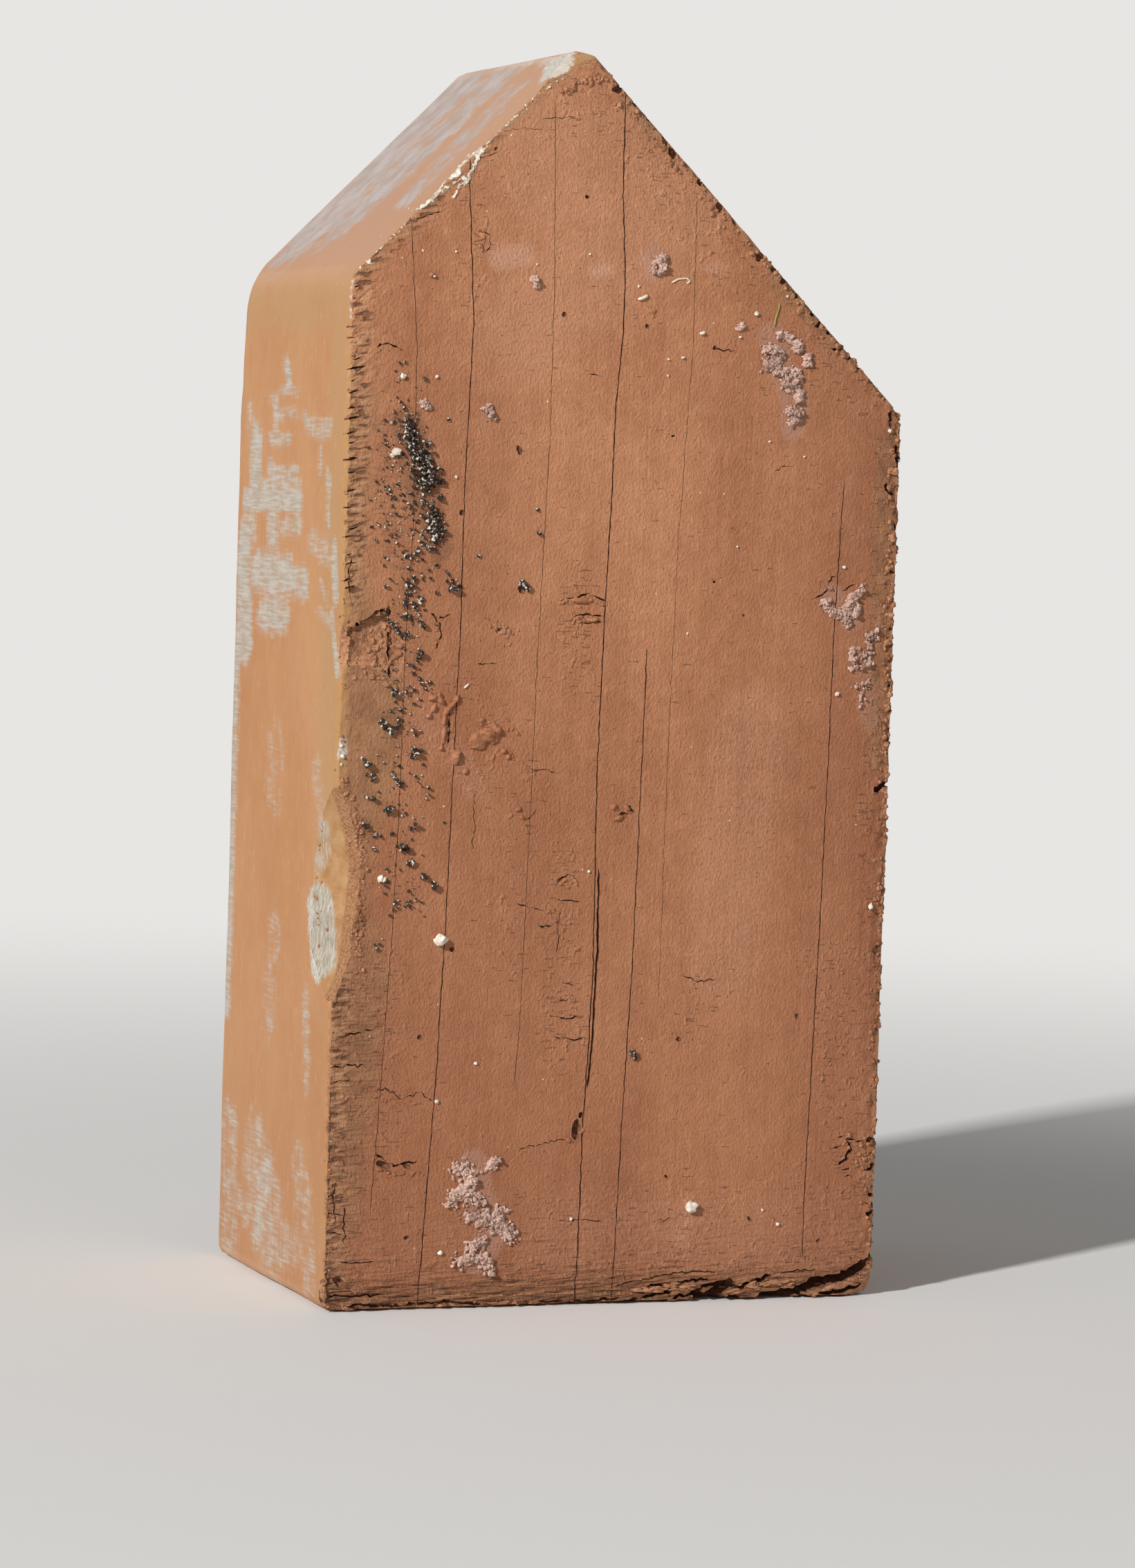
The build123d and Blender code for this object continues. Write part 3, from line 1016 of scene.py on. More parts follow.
class Wire:
    """An output of a material's nodes that can be added, subtracted and multiplied."""

    def __init__(self, graph, socket):
        self.graph, self.socket = graph, socket

    def math(self, operation, *others, clamp=False):
        settings = {"operation": operation, "use_clamp": clamp}
        return self.graph.node("ShaderNodeMath", settings, [self, *others])

    def __add__(self, other):
        return self.math("ADD", other)

    def __mul__(self, other):
        return self.math("MULTIPLY", other)

    def __sub__(self, other):
        return self.math("SUBTRACT", other)

    def __rsub__(self, other):
        return self.graph.node("ShaderNodeMath", {"operation": "SUBTRACT"}, [other, self])

    __radd__ = __add__
    __rmul__ = __mul__

    def rise(self, low, high):
        """0 below one value and 1 above another, smooth between. High may be below low."""
        settings = {"interpolation_type": "SMOOTHSTEP"}
        return self.graph.node("ShaderNodeMapRange", settings, [self, low, high, 0.0, 1.0])


class Graph:
    """The nodes of one material or world. A material's patterns are measured in millimetres."""

    def __init__(self, owner):
        owner.use_nodes = True
        self.tree = owner.node_tree
        self.shader = self.tree.nodes.get("Principled BSDF")
        if self.shader:
            place = self.tree.nodes.new("ShaderNodeTexCoord").outputs["Object"]
            self.spot = self.vector("SCALE", Wire(self, place), scale=1 / MM)

    def feed(self, socket, value):
        """Link a wire to a socket, or set a plain value on it."""
        if isinstance(value, Wire):
            self.tree.links.new(value.socket, socket)
        else:
            socket.default_value = value

    def node(self, kind, settings=(), inputs=(), output=0):
        """Any node from its type, settings and inputs, which go by position or by name."""
        made = self.tree.nodes.new(kind)
        for name, value in dict(settings).items():
            setattr(made, name, value)
        pairs = inputs.items() if isinstance(inputs, dict) else enumerate(inputs)
        for key, value in pairs:
            self.feed(made.inputs[key], value)
        return Wire(self, made.outputs[output])

    def vector(self, operation, first, second=None, scale=None):
        """Arithmetic on places."""
        inputs = {0: first}
        if second is not None:
            inputs[1] = second
        if scale is not None:
            inputs["Scale"] = scale
        return self.node("ShaderNodeVectorMath", {"operation": operation}, inputs)

    def blend(self, share, first, second):
        """One colour laid over another. Sockets 6 and 7 take the colours, and output 2 gives one."""
        return self.node("ShaderNodeMix", {"data_type": "RGBA"}, {0: share, 6: first, 7: second}, 2)

    def painted(self, name):
        """A value painted on the mesh."""
        return self.node("ShaderNodeAttribute", {"attribute_name": name}, output="Fac")

    def place_in(self, grain, stretch, seed, lean=0):
        """Places measured in grains and turned by degrees, offset so that no two patterns match."""
        spot = self.spot
        if lean:
            turn = (0, math.radians(lean), 0)
            spot = self.node("ShaderNodeMapping", {}, {"Vector": spot, "Rotation": turn})
        shift = (7.3 * seed, 3.1 * seed, 5.7 * seed)
        sizes = tuple(1 / (grain * share) for share in stretch)
        return self.vector("ADD", self.vector("MULTIPLY", spot, sizes), shift)

    def noise(self, grain, seed, detail, stretch=(1, 1, 1), rough=0.5, lean=0):
        """Noise from 0 to 1, with its grain in millimetres."""
        spot = self.place_in(grain, stretch, seed, lean)
        inputs = {"Vector": spot, "Scale": 1, "Detail": detail, "Roughness": rough}
        return self.node("ShaderNodeTexNoise", {}, inputs)

    def dots(self, cell, seed, radius, shares):
        """Round dots, one to a cell, as one mask for each share of the cells."""
        spot = self.place_in(cell, (1, 1, 1), seed)
        cells = self.node("ShaderNodeTexVoronoi", {}, {"Vector": spot, "Scale": 1})
        near = cells.rise(radius, radius * 0.5)
        colour = Wire(self, cells.socket.node.outputs["Color"])
        lot = self.node("ShaderNodeSeparateColor", {}, [colour])
        masks, start, edge = [], 0, 0.005
        for share in shares:
            end = start + share
            chosen = lot.rise(start - edge, start + edge) * lot.rise(end + edge, end - edge)
            masks.append(near * chosen)
            start = end
        return masks

    def seen(self):
        """1 for what the camera sees, also in a gloss or through glass, and 0 for light on the brick."""
        ray = self.node("ShaderNodeLightPath", output="Is Camera Ray")
        sockets = ray.socket.node.outputs
        return (ray + Wire(self, sockets["Is Glossy Ray"])).math(
            "ADD", Wire(self, sockets["Is Transmission Ray"]), clamp=True
        )

    def finish(self, colour, roughness, height):
        """Colour, roughness, and the height of the fine relief in millimetres."""
        self.feed(self.shader.inputs["Base Color"], colour)
        self.feed(self.shader.inputs["Roughness"], roughness)
        normal = self.node("ShaderNodeBump", {}, {"Strength": 1.0, "Distance": MM, "Height": height})
        self.feed(self.shader.inputs["Normal"], normal)


def clay_material(material):
    """The unbroken clay: brown bed faces, and smoother orange sides with grey slip marks."""
    g = Graph(material)
    bed, band, deep, rough = g.painted("bed"), g.painted("band"), g.painted("deep"), g.painted("rough")
    slip, mortar, soot, pale = g.painted("slip"), g.painted("mortar"), g.painted("soot"), g.painted("pale")
    hollow, worn, silver = g.painted("hollow"), g.painted("worn"), g.painted("silver")
    slope, dark_rippled, ribs = g.painted("slope"), g.painted("dark_rippled"), g.painted("ribs")
    # Each noise gives its grain, seed and detail
    mottle = g.noise(26, 1, 2, stretch=(0.8, 1, 2))
    cloud = g.noise(5, 2, 3, rough=0.6)
    drag = g.noise(0.8, 3, 2, stretch=(1, 1, 50))
    sand = g.noise(0.5, 4, 3, stretch=(0.9, 1, 1.3), rough=0.6)
    nicks = g.noise(0.6, 8, 2, stretch=(4, 1, 0.6), rough=0.6)
    bumps = g.noise(1.5, 9, 2, rough=0.55)
    grains, pores, flecks = g.dots(1.5, 5, 0.12, (0.12, 0.12, 0.02))
    ripples = g.noise(0.8, 15, 2, stretch=(9, 1, 0.75), rough=0.6, lean=4)
    ridges = g.noise(0.85, 17, 1, stretch=(3.2, 2, 1), rough=0.5, lean=9)
    gaps = (ridges + (cloud - 0.5) * 0.3).rise(0.43, 0.38) * ribs.rise(0.1, 0.7)
    torn = (nicks + (cloud - 0.5) * 0.2 + rough * 0.08).rise(0.7, 0.76)

    # Bed faces
    tone = (mottle - 0.5) * 0.8 + (cloud - 0.5) * 0.4 + (drag - 0.5) * 0.3 + (bumps - 0.5) * 0.4 + 0.5
    brown = g.blend(tone.rise(0.1, 0.9), srgb(163, 104, 69), srgb(199, 139, 101))
    brown = g.blend(deep, brown, g.blend(tone.rise(0.1, 0.9), srgb(144, 88, 58), srgb(172, 114, 80)))
    olive = g.blend(cloud.rise(0.3, 0.7), srgb(126, 88, 58), srgb(164, 120, 84))
    ragged = (band + (cloud - 0.5) * 0.8 + (sand - 0.5) * 0.3).rise(0.3, 0.75)
    brown = g.blend(ragged * (0.8 - deep * 0.3), brown, olive)
    # Darker clay towards the foot and in part of the left band
    brown = g.blend(dark_rippled * (0.25 + cloud * 0.45), brown, srgb(100, 66, 44))
    # Painted shade in the troughs of the ripples, and painted highlight on their crests
    brown = g.blend(ripples.rise(0.48, 0.3) * dark_rippled * 0.7, brown, srgb(74, 46, 32))
    brown = g.blend(ripples.rise(0.52, 0.72) * dark_rippled * 0.6, brown, srgb(196, 144, 100))
    brown = g.blend((pale * 1.2 + (sand - 0.5) * 0.8).rise(0.1, 1.0), brown, srgb(204, 154, 128))
    # Painted shade in the gaps between the ribs, and painted highlight on the ribs' ridges
    brown = g.blend(gaps * 0.65, brown, srgb(82, 52, 36))
    brown = g.blend(ridges.rise(0.5, 0.64) * ribs * 0.5, brown, srgb(206, 162, 122))
    smear = (mortar * 1.2 + (nicks - 0.5) * 0.9).rise(0.4, 0.75)
    brown = g.blend(smear * 0.5, brown, srgb(176, 132, 112))
    dust = (soot * 1.3 + (nicks - 0.5) * 1.6).rise(0.5, 1.0)
    brown = g.blend(dust * 0.4, brown, srgb(98, 70, 52))
    brown = g.blend(sand.rise(0.58, 0.8) * 0.2, brown, srgb(214, 152, 112))
    brown = g.blend(sand.rise(0.42, 0.22) * 0.2, brown, srgb(112, 68, 46))

    # Sides and slants
    streak = g.noise(0.7, 13, 2, stretch=(1, 1, 12))
    lighter = (mottle * 0.6 + cloud * 0.3 + streak * 0.3).rise(0.35, 0.85)
    tan = g.blend(lighter, srgb(170, 112, 62), srgb(184, 132, 86))
    yellow = (worn * 1.2 + (mottle - 0.5) * 1.6 + (cloud - 0.5) * 1.1 + (streak - 0.5) * 0.5).rise(0.1, 1.1)
    tan = g.blend(yellow * 0.7, tan, srgb(172, 130, 82))
    low = g.node("ShaderNodeSeparateXYZ", {}, [g.spot], output=2).rise(75, 5)
    tan = g.blend(low * 0.35, tan, srgb(156, 110, 76))
    scratch = g.noise(0.5, 14, 1, stretch=(1, 1, 5)).rise(0.68, 0.74)
    tan = g.blend(scratch * 0.4, tan, srgb(206, 168, 124))
    blotch = g.noise(3.4, 10, 3, stretch=(1, 1.2, 1.2), rough=0.6)
    brush = g.noise(0.8, 11, 3, stretch=(3, 7, 0.7), rough=0.6)
    comb = g.noise(1.1, 16, 3, stretch=(1, 1, 5), rough=0.6)
    fringe = slip + (brush - 0.5) * (1.0 - slope * 0.6) + (comb - 0.5) * (0.7 - slope * 0.4)
    fringe = fringe + (blotch - 0.5) * (1.3 + slope * 0.5)
    fringe = fringe.rise(0.1 + slope * 0.1, 1.1 - slope * 0.25) * slip.rise(0.0, 0.3)
    grey = g.blend(brush.rise(0.3, 0.7), srgb(158, 151, 138), srgb(186, 180, 170))
    grey = g.blend(slope, grey, g.blend(cloud.rise(0.3, 0.7), srgb(160, 147, 140), srgb(180, 170, 166)))
    tan = g.blend(slope * 0.7, tan, srgb(176, 134, 106))
    tan = g.blend(fringe * 0.9, tan, grey)
    # Silvery worn patches, partly a painted sheen
    shine = (silver * 1.3 + (cloud - 0.5) * 1.2 + (sand - 0.5) * 0.6).rise(0.4, 1.0)
    tan = g.blend(shine, tan, g.blend(sand.rise(0.35, 0.65), srgb(162, 154, 142), srgb(206, 200, 190)))
    colour = g.blend(bed, tan, brown)
    # Painted shade in the hollows, and painted highlight on the ridges
    colour = g.blend(hollow.rise(0.04, 0.18) * 0.8, colour, srgb(76, 46, 30))
    colour = g.blend(hollow.rise(-0.05, -0.2) * 0.3, colour, srgb(214, 168, 132))
    # Painted shade in the small torn nicks and the pores, and painted highlight on the raised grains
    colour = g.blend(torn * bed * 0.45, colour, srgb(98, 58, 38))
    colour = g.blend(grains * (0.25 + bed * 0.2), colour, srgb(212, 176, 146))
    colour = g.blend(pores * 0.5, colour, srgb(88, 54, 37))
    colour = g.blend(flecks, colour, srgb(240, 228, 214))

    relief_height = (
        (sand - 0.5) * (bed * 0.24 + 0.04) + bumps.rise(0.55, 0.9) * bed * (0.1 + rough * 0.3)
        + (streak - 0.5) * (1 - bed) * 0.06 + grains * 0.08 - pores * 0.12 - torn * bed * 0.16
        + (ripples - 0.5) * dark_rippled * bed * 1.4 + (ridges - 0.5) * ribs * bed * 0.5 - gaps * bed * 0.3
    )
    roughness = 0.92 - (1 - bed) * (0.36 - fringe * 0.1)
    g.finish(colour, roughness, relief_height)


def broken_material(material):
    """Torn and broken clay: brighter, and crumbly."""
    g = Graph(material)
    crumb = g.noise(0.8, 21, 3, rough=0.7)
    cloud = g.noise(5, 22, 3)
    hollow = g.painted("hollow")
    colour = g.blend((crumb * 0.6 + cloud * 0.5).rise(0.35, 0.75), srgb(140, 91, 62), srgb(196, 140, 102))
    colour = g.blend(g.dots(1.1, 23, 0.3, (0.2,))[0] * 0.6, colour, srgb(204, 156, 116))
    colour = g.blend(crumb.rise(0.42, 0.28) * 0.6, colour, srgb(84, 52, 36))
    # Painted shade in the hollows
    colour = g.blend(hollow.rise(0.02, 0.18) * 0.8, colour, srgb(66, 40, 28))
    g.finish(colour, 0.95, (crumb - 0.5) * 0.5)


def cut_inside_material(material):
    """The inside of cracks, pits and drag lines: a darker clay."""
    g = Graph(material)
    crumb = g.noise(0.7, 31, 3)
    colour = g.blend(crumb.rise(0.35, 0.65), srgb(92, 58, 40), srgb(134, 88, 62))
    g.finish(colour, 0.95, (crumb - 0.5) * 0.2)


def chip_material(material):
    """The smooth chipped surfaces: tan clay with a silvery skin worn by rubbing, its silver partly a
    painted sheen.
    """
    g = Graph(material)
    silver, torn = g.painted("silver"), g.painted("torn")
    hollow, slope = g.painted("hollow"), g.painted("slope")
    cloud = g.noise(3, 41, 4, rough=0.6)
    fine = g.noise(0.5, 42, 3, rough=0.7)
    streak = g.noise(0.45, 43, 2, stretch=(1, 1, 5), rough=0.6)
    colour = g.blend(cloud.rise(0.3, 0.7), srgb(160, 112, 68), srgb(176, 138, 94))
    # Worn skin whose silver is partly a painted sheen, with painted highlight in its streaks
    rubbed_and_sheen = silver * 1.4 + (cloud - 0.5) * (0.8 + slope) + (streak - 0.5) * (0.6 + slope)
    rubbed_and_sheen = rubbed_and_sheen.rise(0.35, 1.05)
    skin = g.blend(streak.rise(0.3, 0.75), srgb(142, 132, 114), srgb(190, 180, 165))
    # Painted highlight on the worn skin of the crest
    skin = g.blend(slope * 0.6, skin, srgb(216, 206, 194))
    colour = g.blend(rubbed_and_sheen, colour, skin)
    ragged = (torn * 1.5 + (fine - 0.5) * 0.9).rise(0.45, 0.8)
    raw = g.blend(fine.rise(0.35, 0.65), srgb(156, 104, 66), srgb(200, 146, 100))
    colour = g.blend(ragged * 0.85, colour, raw)
    colour = g.blend(fine.rise(0.42, 0.3) * 0.35, colour, srgb(110, 78, 56))
    # Painted shade in the hollows
    colour = g.blend(hollow.rise(0.02, 0.18) * 0.7, colour, srgb(84, 54, 38))
    height = (cloud - 0.5) * 0.3 + (fine - 0.5) * (0.1 + ragged * 0.8) + (streak - 0.5) * rubbed_and_sheen * 0.12
    g.finish(colour, 0.8 - rubbed_and_sheen * 0.25, height)


def lump_material(name, dark, light, roughness, grain=0.6, height=0.15, glint=None):
    """A material for crumbs, between two colours, some of them bright."""
    material = bpy.data.materials.new(name)
    g = Graph(material)
    crumb = g.noise(grain, 51, 3, rough=0.65)
    cloud = g.noise(2.6, 52, 2)
    colour = g.blend((crumb * 0.7 + cloud * 0.5).rise(0.35, 0.8), srgb(*dark), srgb(*light))
    if glint:
        colour = g.blend(g.noise(0.6, 53, 1).rise(0.56, 0.62), colour, srgb(*glint))
        g.shader.inputs["Specular IOR Level"].default_value = 0.25
    g.finish(colour, roughness, (crumb - 0.5) * height)
    return material


clay_material(finishes["clay"])
broken_material(finishes["broken"])
cut_inside_material(finishes["cut_inside"])
chip_material(finishes["chip"])


# Painting


def paint(piece, name, values):
    """Paint one value on each vertex of a piece."""
    layer = piece.data.attributes.new(name, "FLOAT", "POINT")
    layer.data.foreach_set("value", np.asarray(values, dtype=np.float32))


# What is painted on the body, apart from its hollows
PAINTS = (
    "bed", "band", "deep", "rough", "ribs", "dark_rippled", "slip",
    "slope", "mortar", "soot", "pale", "worn", "silver", "torn",
)


def paint_like(piece, body):
    """Paint lumps as the body is painted where they lie."""
    spots = places(body.data)
    near = KDTree(len(spots))
    for number, spot in enumerate(spots):
        near.insert(spot, number)
    near.balance()
    nearest = np.array([near.find(spot)[1] for spot in places(piece.data)])
    for name in PAINTS:
        paint(piece, name, read(body.data.attributes[name].data, "value", 1)[nearest, 0])
    paint_hollows(piece)


def strokes(spots, marks):
    """The strongest of several brush strokes: each has a path, a reach and a strength."""
    total = np.zeros(len(spots))
    for path, reach, strength in marks:
        total = np.maximum(total, strength * stroke(spots, path, reach, full=0.3 * reach))
    return total


# Brush marks: path, reach and strength. On the front face the places are x and z
MORTAR_MARKS = (
    (((-24.5, 25), (-23.5, 19), (-20, 14), (-23.5, 8.5)), 4.6, 0.8),
    (((25.5, 168.5), (27.5, 163), (30.5, 157), (30, 153)), 4.2, 0.8),
    (((3.2, 181.5), (3.4, 178.5)), 3.0, 0.8),
    (((38.5, 124.0), (42.5, 119.5)), 3.6, 0.7),
    (((44.5, 112.0), (46.5, 102.0)), 4.0, 0.5),
    (((-25.8, 154.3), (-27, 152)), 2.0, 0.5),
    (((-22.4, 117), (-21, 116)), 2.0, 0.5),
)
PALE_MARKS = (
    (((-24.8, 179.6), (-20.5, 180.2)), 3.6, 0.5),
    (((15.4, 18), (14, 11)), 3.2, 0.3),
    (((-36, 102), (-26, 90)), 5.0, 0.25),
    (((-7.5, 177.8), (-5.1, 178.7)), 1.6, 0.6),
    (((1.5, 181.0), (3.0, 178.5)), 1.8, 0.5),
    (((13.5, 179.5), (16.2, 179.9)), 1.4, 0.45),
    (((20, 60), (24, 100)), 14.0, 0.25),
    (((-20, 168), (8, 190)), 16.0, 0.25),
    (((-14, 196), (4, 198)), 22.0, 0.25),
    (((-6, 12), (40, 12)), 14.0, 0.2),
    (((43.5, 2.0), (49.0, 2.6)), 3.0, 0.6),
)
SOOT_MARKS = (
    (((-40.5, 151), (-37.5, 140)), 5.0, 0.9),
    (((-36, 138), (-34, 130)), 4.0, 0.85),
    (((-44, 150), (-42, 128)), 5.0, 0.55),
    (((-39, 128), (-41, 100)), 5.0, 0.5),
    (((-39.5, 100), (-40.5, 72)), 5.5, 0.35),
)
TINT_MARKS = (
    (((27, 178), (32.7, 173.5), (38, 168)), 3.6, 1.0),
    (((-3, 208), (6, 200)), 3.0, 0.7),
    (((48.5, 150), (49.5, 96)), 4.5, 0.9),
    (((43, 120), (45, 104)), 5.0, 0.4),
)
ROUGH_MARKS = (
    (((48, 150), (48, 30)), 4.5, 0.8),
    (((-47.5, 60), (-47.5, 8)), 5.0, 0.8),
    (((-10, 206), (-30, 188)), 5.0, 0.5),
    (((-9, 125), (-8, 108)), 5.0, 1.0),
    (((-10, 76), (-9, 44)), 7.0, 1.0),
    (((-17, 90), (-19, 60)), 6.0, 0.7),
    (((-31, 106), (-24, 92)), 6.0, 0.9),
    (((-41, 60), (-41, 20)), 5.0, 0.8),
    (((40, 60), (46, 20)), 7.0, 1.0),
    (((14, 48), (20, 58)), 5.0, 0.7),
    (((-30, 192), (-29, 172)), 5.0, 0.9),
    (((-8, 205), (40, 158)), 7.0, 0.8),
    (((-46, 4), (46, 7)), 7.0, 1.0),
    (((-40, 10), (40, 14)), 14.0, 0.5),
)
# On the left side the places are distances back from the middle, and heights
SLIP_MARKS = (
    (((3.3, 161.0), (1.7, 158.0)), 2.8, 0.85),
    (((7.0, 156.8), (-3.5, 156.8)), 1.8, 0.7),
    (((14.5, 155.3), (8.0, 155.3)), 1.6, 0.5),
    (((9.5, 153.4), (9.5, 149.8)), 2.4, 0.8),
    (((7.8, 152.6), (-3.6, 152.6)), 2.0, 0.6),
    (((12.8, 148.0), (0.3, 148.0)), 1.9, 0.8),
    (((-7.5, 152.0), (-12.0, 150.2)), 2.4, 0.75),
    (((-12.0, 150.0), (-22.5, 150.0)), 3.2, 0.62),
    (((20.5, 147.5), (20.5, 140.5)), 6.0, 0.95),
    (((25.5, 154.0), (25.3, 150.0)), 3.0, 0.5),
    (((12.0, 143.3), (7.5, 140.9)), 2.8, 0.8),
    (((6.3, 142.4), (-5.0, 142.4)), 2.2, 0.75),
    (((15.4, 140.3), (-5.6, 140.3)), 1.8, 0.85),
    (((26.0, 137.2), (-6.0, 137.6)), 3.4, 1.0),
    (((-17.5, 145.2), (-17.6, 143.2)), 2.4, 0.75),
    (((-22.0, 141.8), (-22.8, 140.0)), 2.4, 0.75),
    (((-23.1, 138.9), (-22.7, 134.3)), 2.2, 0.75),
    (((22.5, 134.4), (22.0, 131.5)), 5.0, 0.8),
    (((9.6, 134.0), (9.9, 130.6)), 4.5, 0.8),
    (((3.4, 132.6), (-6.3, 133.3)), 3.0, 0.75),
    (((26.5, 129.5), (25.0, 112.4)), 7.5, 1.0),
    (((17.6, 124.5), (-0.6, 124.5)), 6.0, 0.95),
    (((8.0, 129.0), (7.5, 119.0)), 4.5, 0.8),
    (((-0.7, 123.3), (-10.4, 123.4)), 4.6, 0.85),
    (((14.4, 116.9), (0.3, 117.4)), 5.0, 0.85),
    (((-14.0, 131.0), (-23.0, 128.5)), 4.0, 0.6),
    (((-27.0, 130.0), (-28.5, 121.5)), 2.6, 0.9),
    (((-19.5, 124.2), (-24.1, 119.9)), 1.6, 0.7),
    (((-26.8, 118.4), (-30.5, 108.8)), 1.9, 0.8),
    (((-18.7, 118.6), (-25.1, 117.4)), 1.9, 0.6),
    (((30, 112), (30, 46)), 4.2, 0.95),
    (((4, 94), (4, 86)), 8.0, 0.36),
    (((-20, 92), (-24, 84)), 5.0, 0.4),
    (((2, 62), (4, 46)), 7.0, 0.4),
    (((-18, 52), (-20, 38)), 4.0, 0.5),
    (((10, 26), (-4, 14)), 7.0, 0.5),
    (((2, 20), (6, 8)), 7.0, 0.75),
    (((-16, 24), (-20, 10)), 6.0, 0.45),
    (((18, 12), (-14, 8)), 6.0, 0.5),
    (((25, 24), (24, 4)), 9.0, 0.5),
    (((10, 20), (-2, 6)), 11.0, 0.55),
    (((-19, 20), (-24, 5)), 7.0, 0.45),
)
# On the left slant they are distances back from the middle, and places across the width
SLANT_MARKS = (
    (((22, -38), (22, -15)), 17, 0.88),
    (((4, -36), (2, -16)), 14, 0.74),
    (((-18, -34), (-16, -20)), 10, 0.56),
)
# Silvery worn patches on the left side, partly a painted sheen, with a painted highlight near the shoulder
SILVER_MARKS = (
    (((-22, 68), (-24, 60)), 6.5, 1.0),
    (((-24, 82), (-22, 76)), 3.5, 0.5),
    (((-31.8, 174), (-32.0, 169)), 1.3, 0.8),
    (((-32.2, 97.4), (-32.2, 95)), 1.2, 0.6),
)
WORN_MARKS = (
    (((-32, 174), (-32, 96)), 15, 0.9),
    (((-32, 58), (-32, 0)), 8, 0.5),
    (((-30, 172), (30, 173)), 9, 0.8),
)


# Clay worn by rubbing on the crest, partly a painted sheen: distances back from the middle, and places
# across the width
CREST_MARKS = (
    (((-28, -14), (-23, -11.5)), 4.6, 1.0),
    (((-20, -12), (-2, -10.8), (12, -10.4)), 2.4, 0.62),
)

# What changes up the left front arris, as heights and the values there: how far the bed's
# brown stops short of the arris, how far the brownish band reaches from it and how strong
# that is, and how strong the ribs are
ARRIS = ((84, 92, 122, 128, 160, 178), (-0.6, 1.9, 1.7, 0.9, 0.9, -0.6))
BAND_REACH = (
    (0, 57, 64, 73, 81, 90, 99, 106, 122, 140, 172),
    (7, 12.9, 11, 8.7, 9.9, 12.7, 13.8, 13, 7.2, 8.5, 8.5),
)
BAND_SHARE = ((0, 60, 118, 128, 156, 175), (0.75, 0.85, 1, 0.7, 0.6, 0.3))
RIBS = ((4, 12, 56, 62, 118, 124, 150, 176, 184), (0.3, 0.7, 0.7, 0.1, 0.1, 0.9, 1, 1, 0.4))


def paint_hollows(piece):
    """Paint how far each vertex lies below its neighbours, in millimetres: painted shade goes in the
    hollows, painted highlight on the ridges.
    """
    mesh = piece.data
    spots = places(mesh)
    near, far = edge_ends(mesh).T
    count = np.bincount(near, minlength=len(spots)) + np.bincount(far, minlength=len(spots))
    around = np.zeros_like(spots)
    for axis in range(3):
        around[:, axis] += np.bincount(near, weights=spots[far, axis], minlength=len(spots))
        around[:, axis] += np.bincount(far, weights=spots[near, axis], minlength=len(spots))
    around /= np.maximum(count, 1)[:, None]
    normals = read(mesh.vertices, "normal", 3)
    depth = np.sum((around - spots) * normals, axis=1)
    smooth = np.bincount(near, weights=depth[far], minlength=len(spots))
    smooth += np.bincount(far, weights=depth[near], minlength=len(spots))
    paint(piece, "hollow", 0.5 * depth + 0.5 * smooth / np.maximum(count, 1))


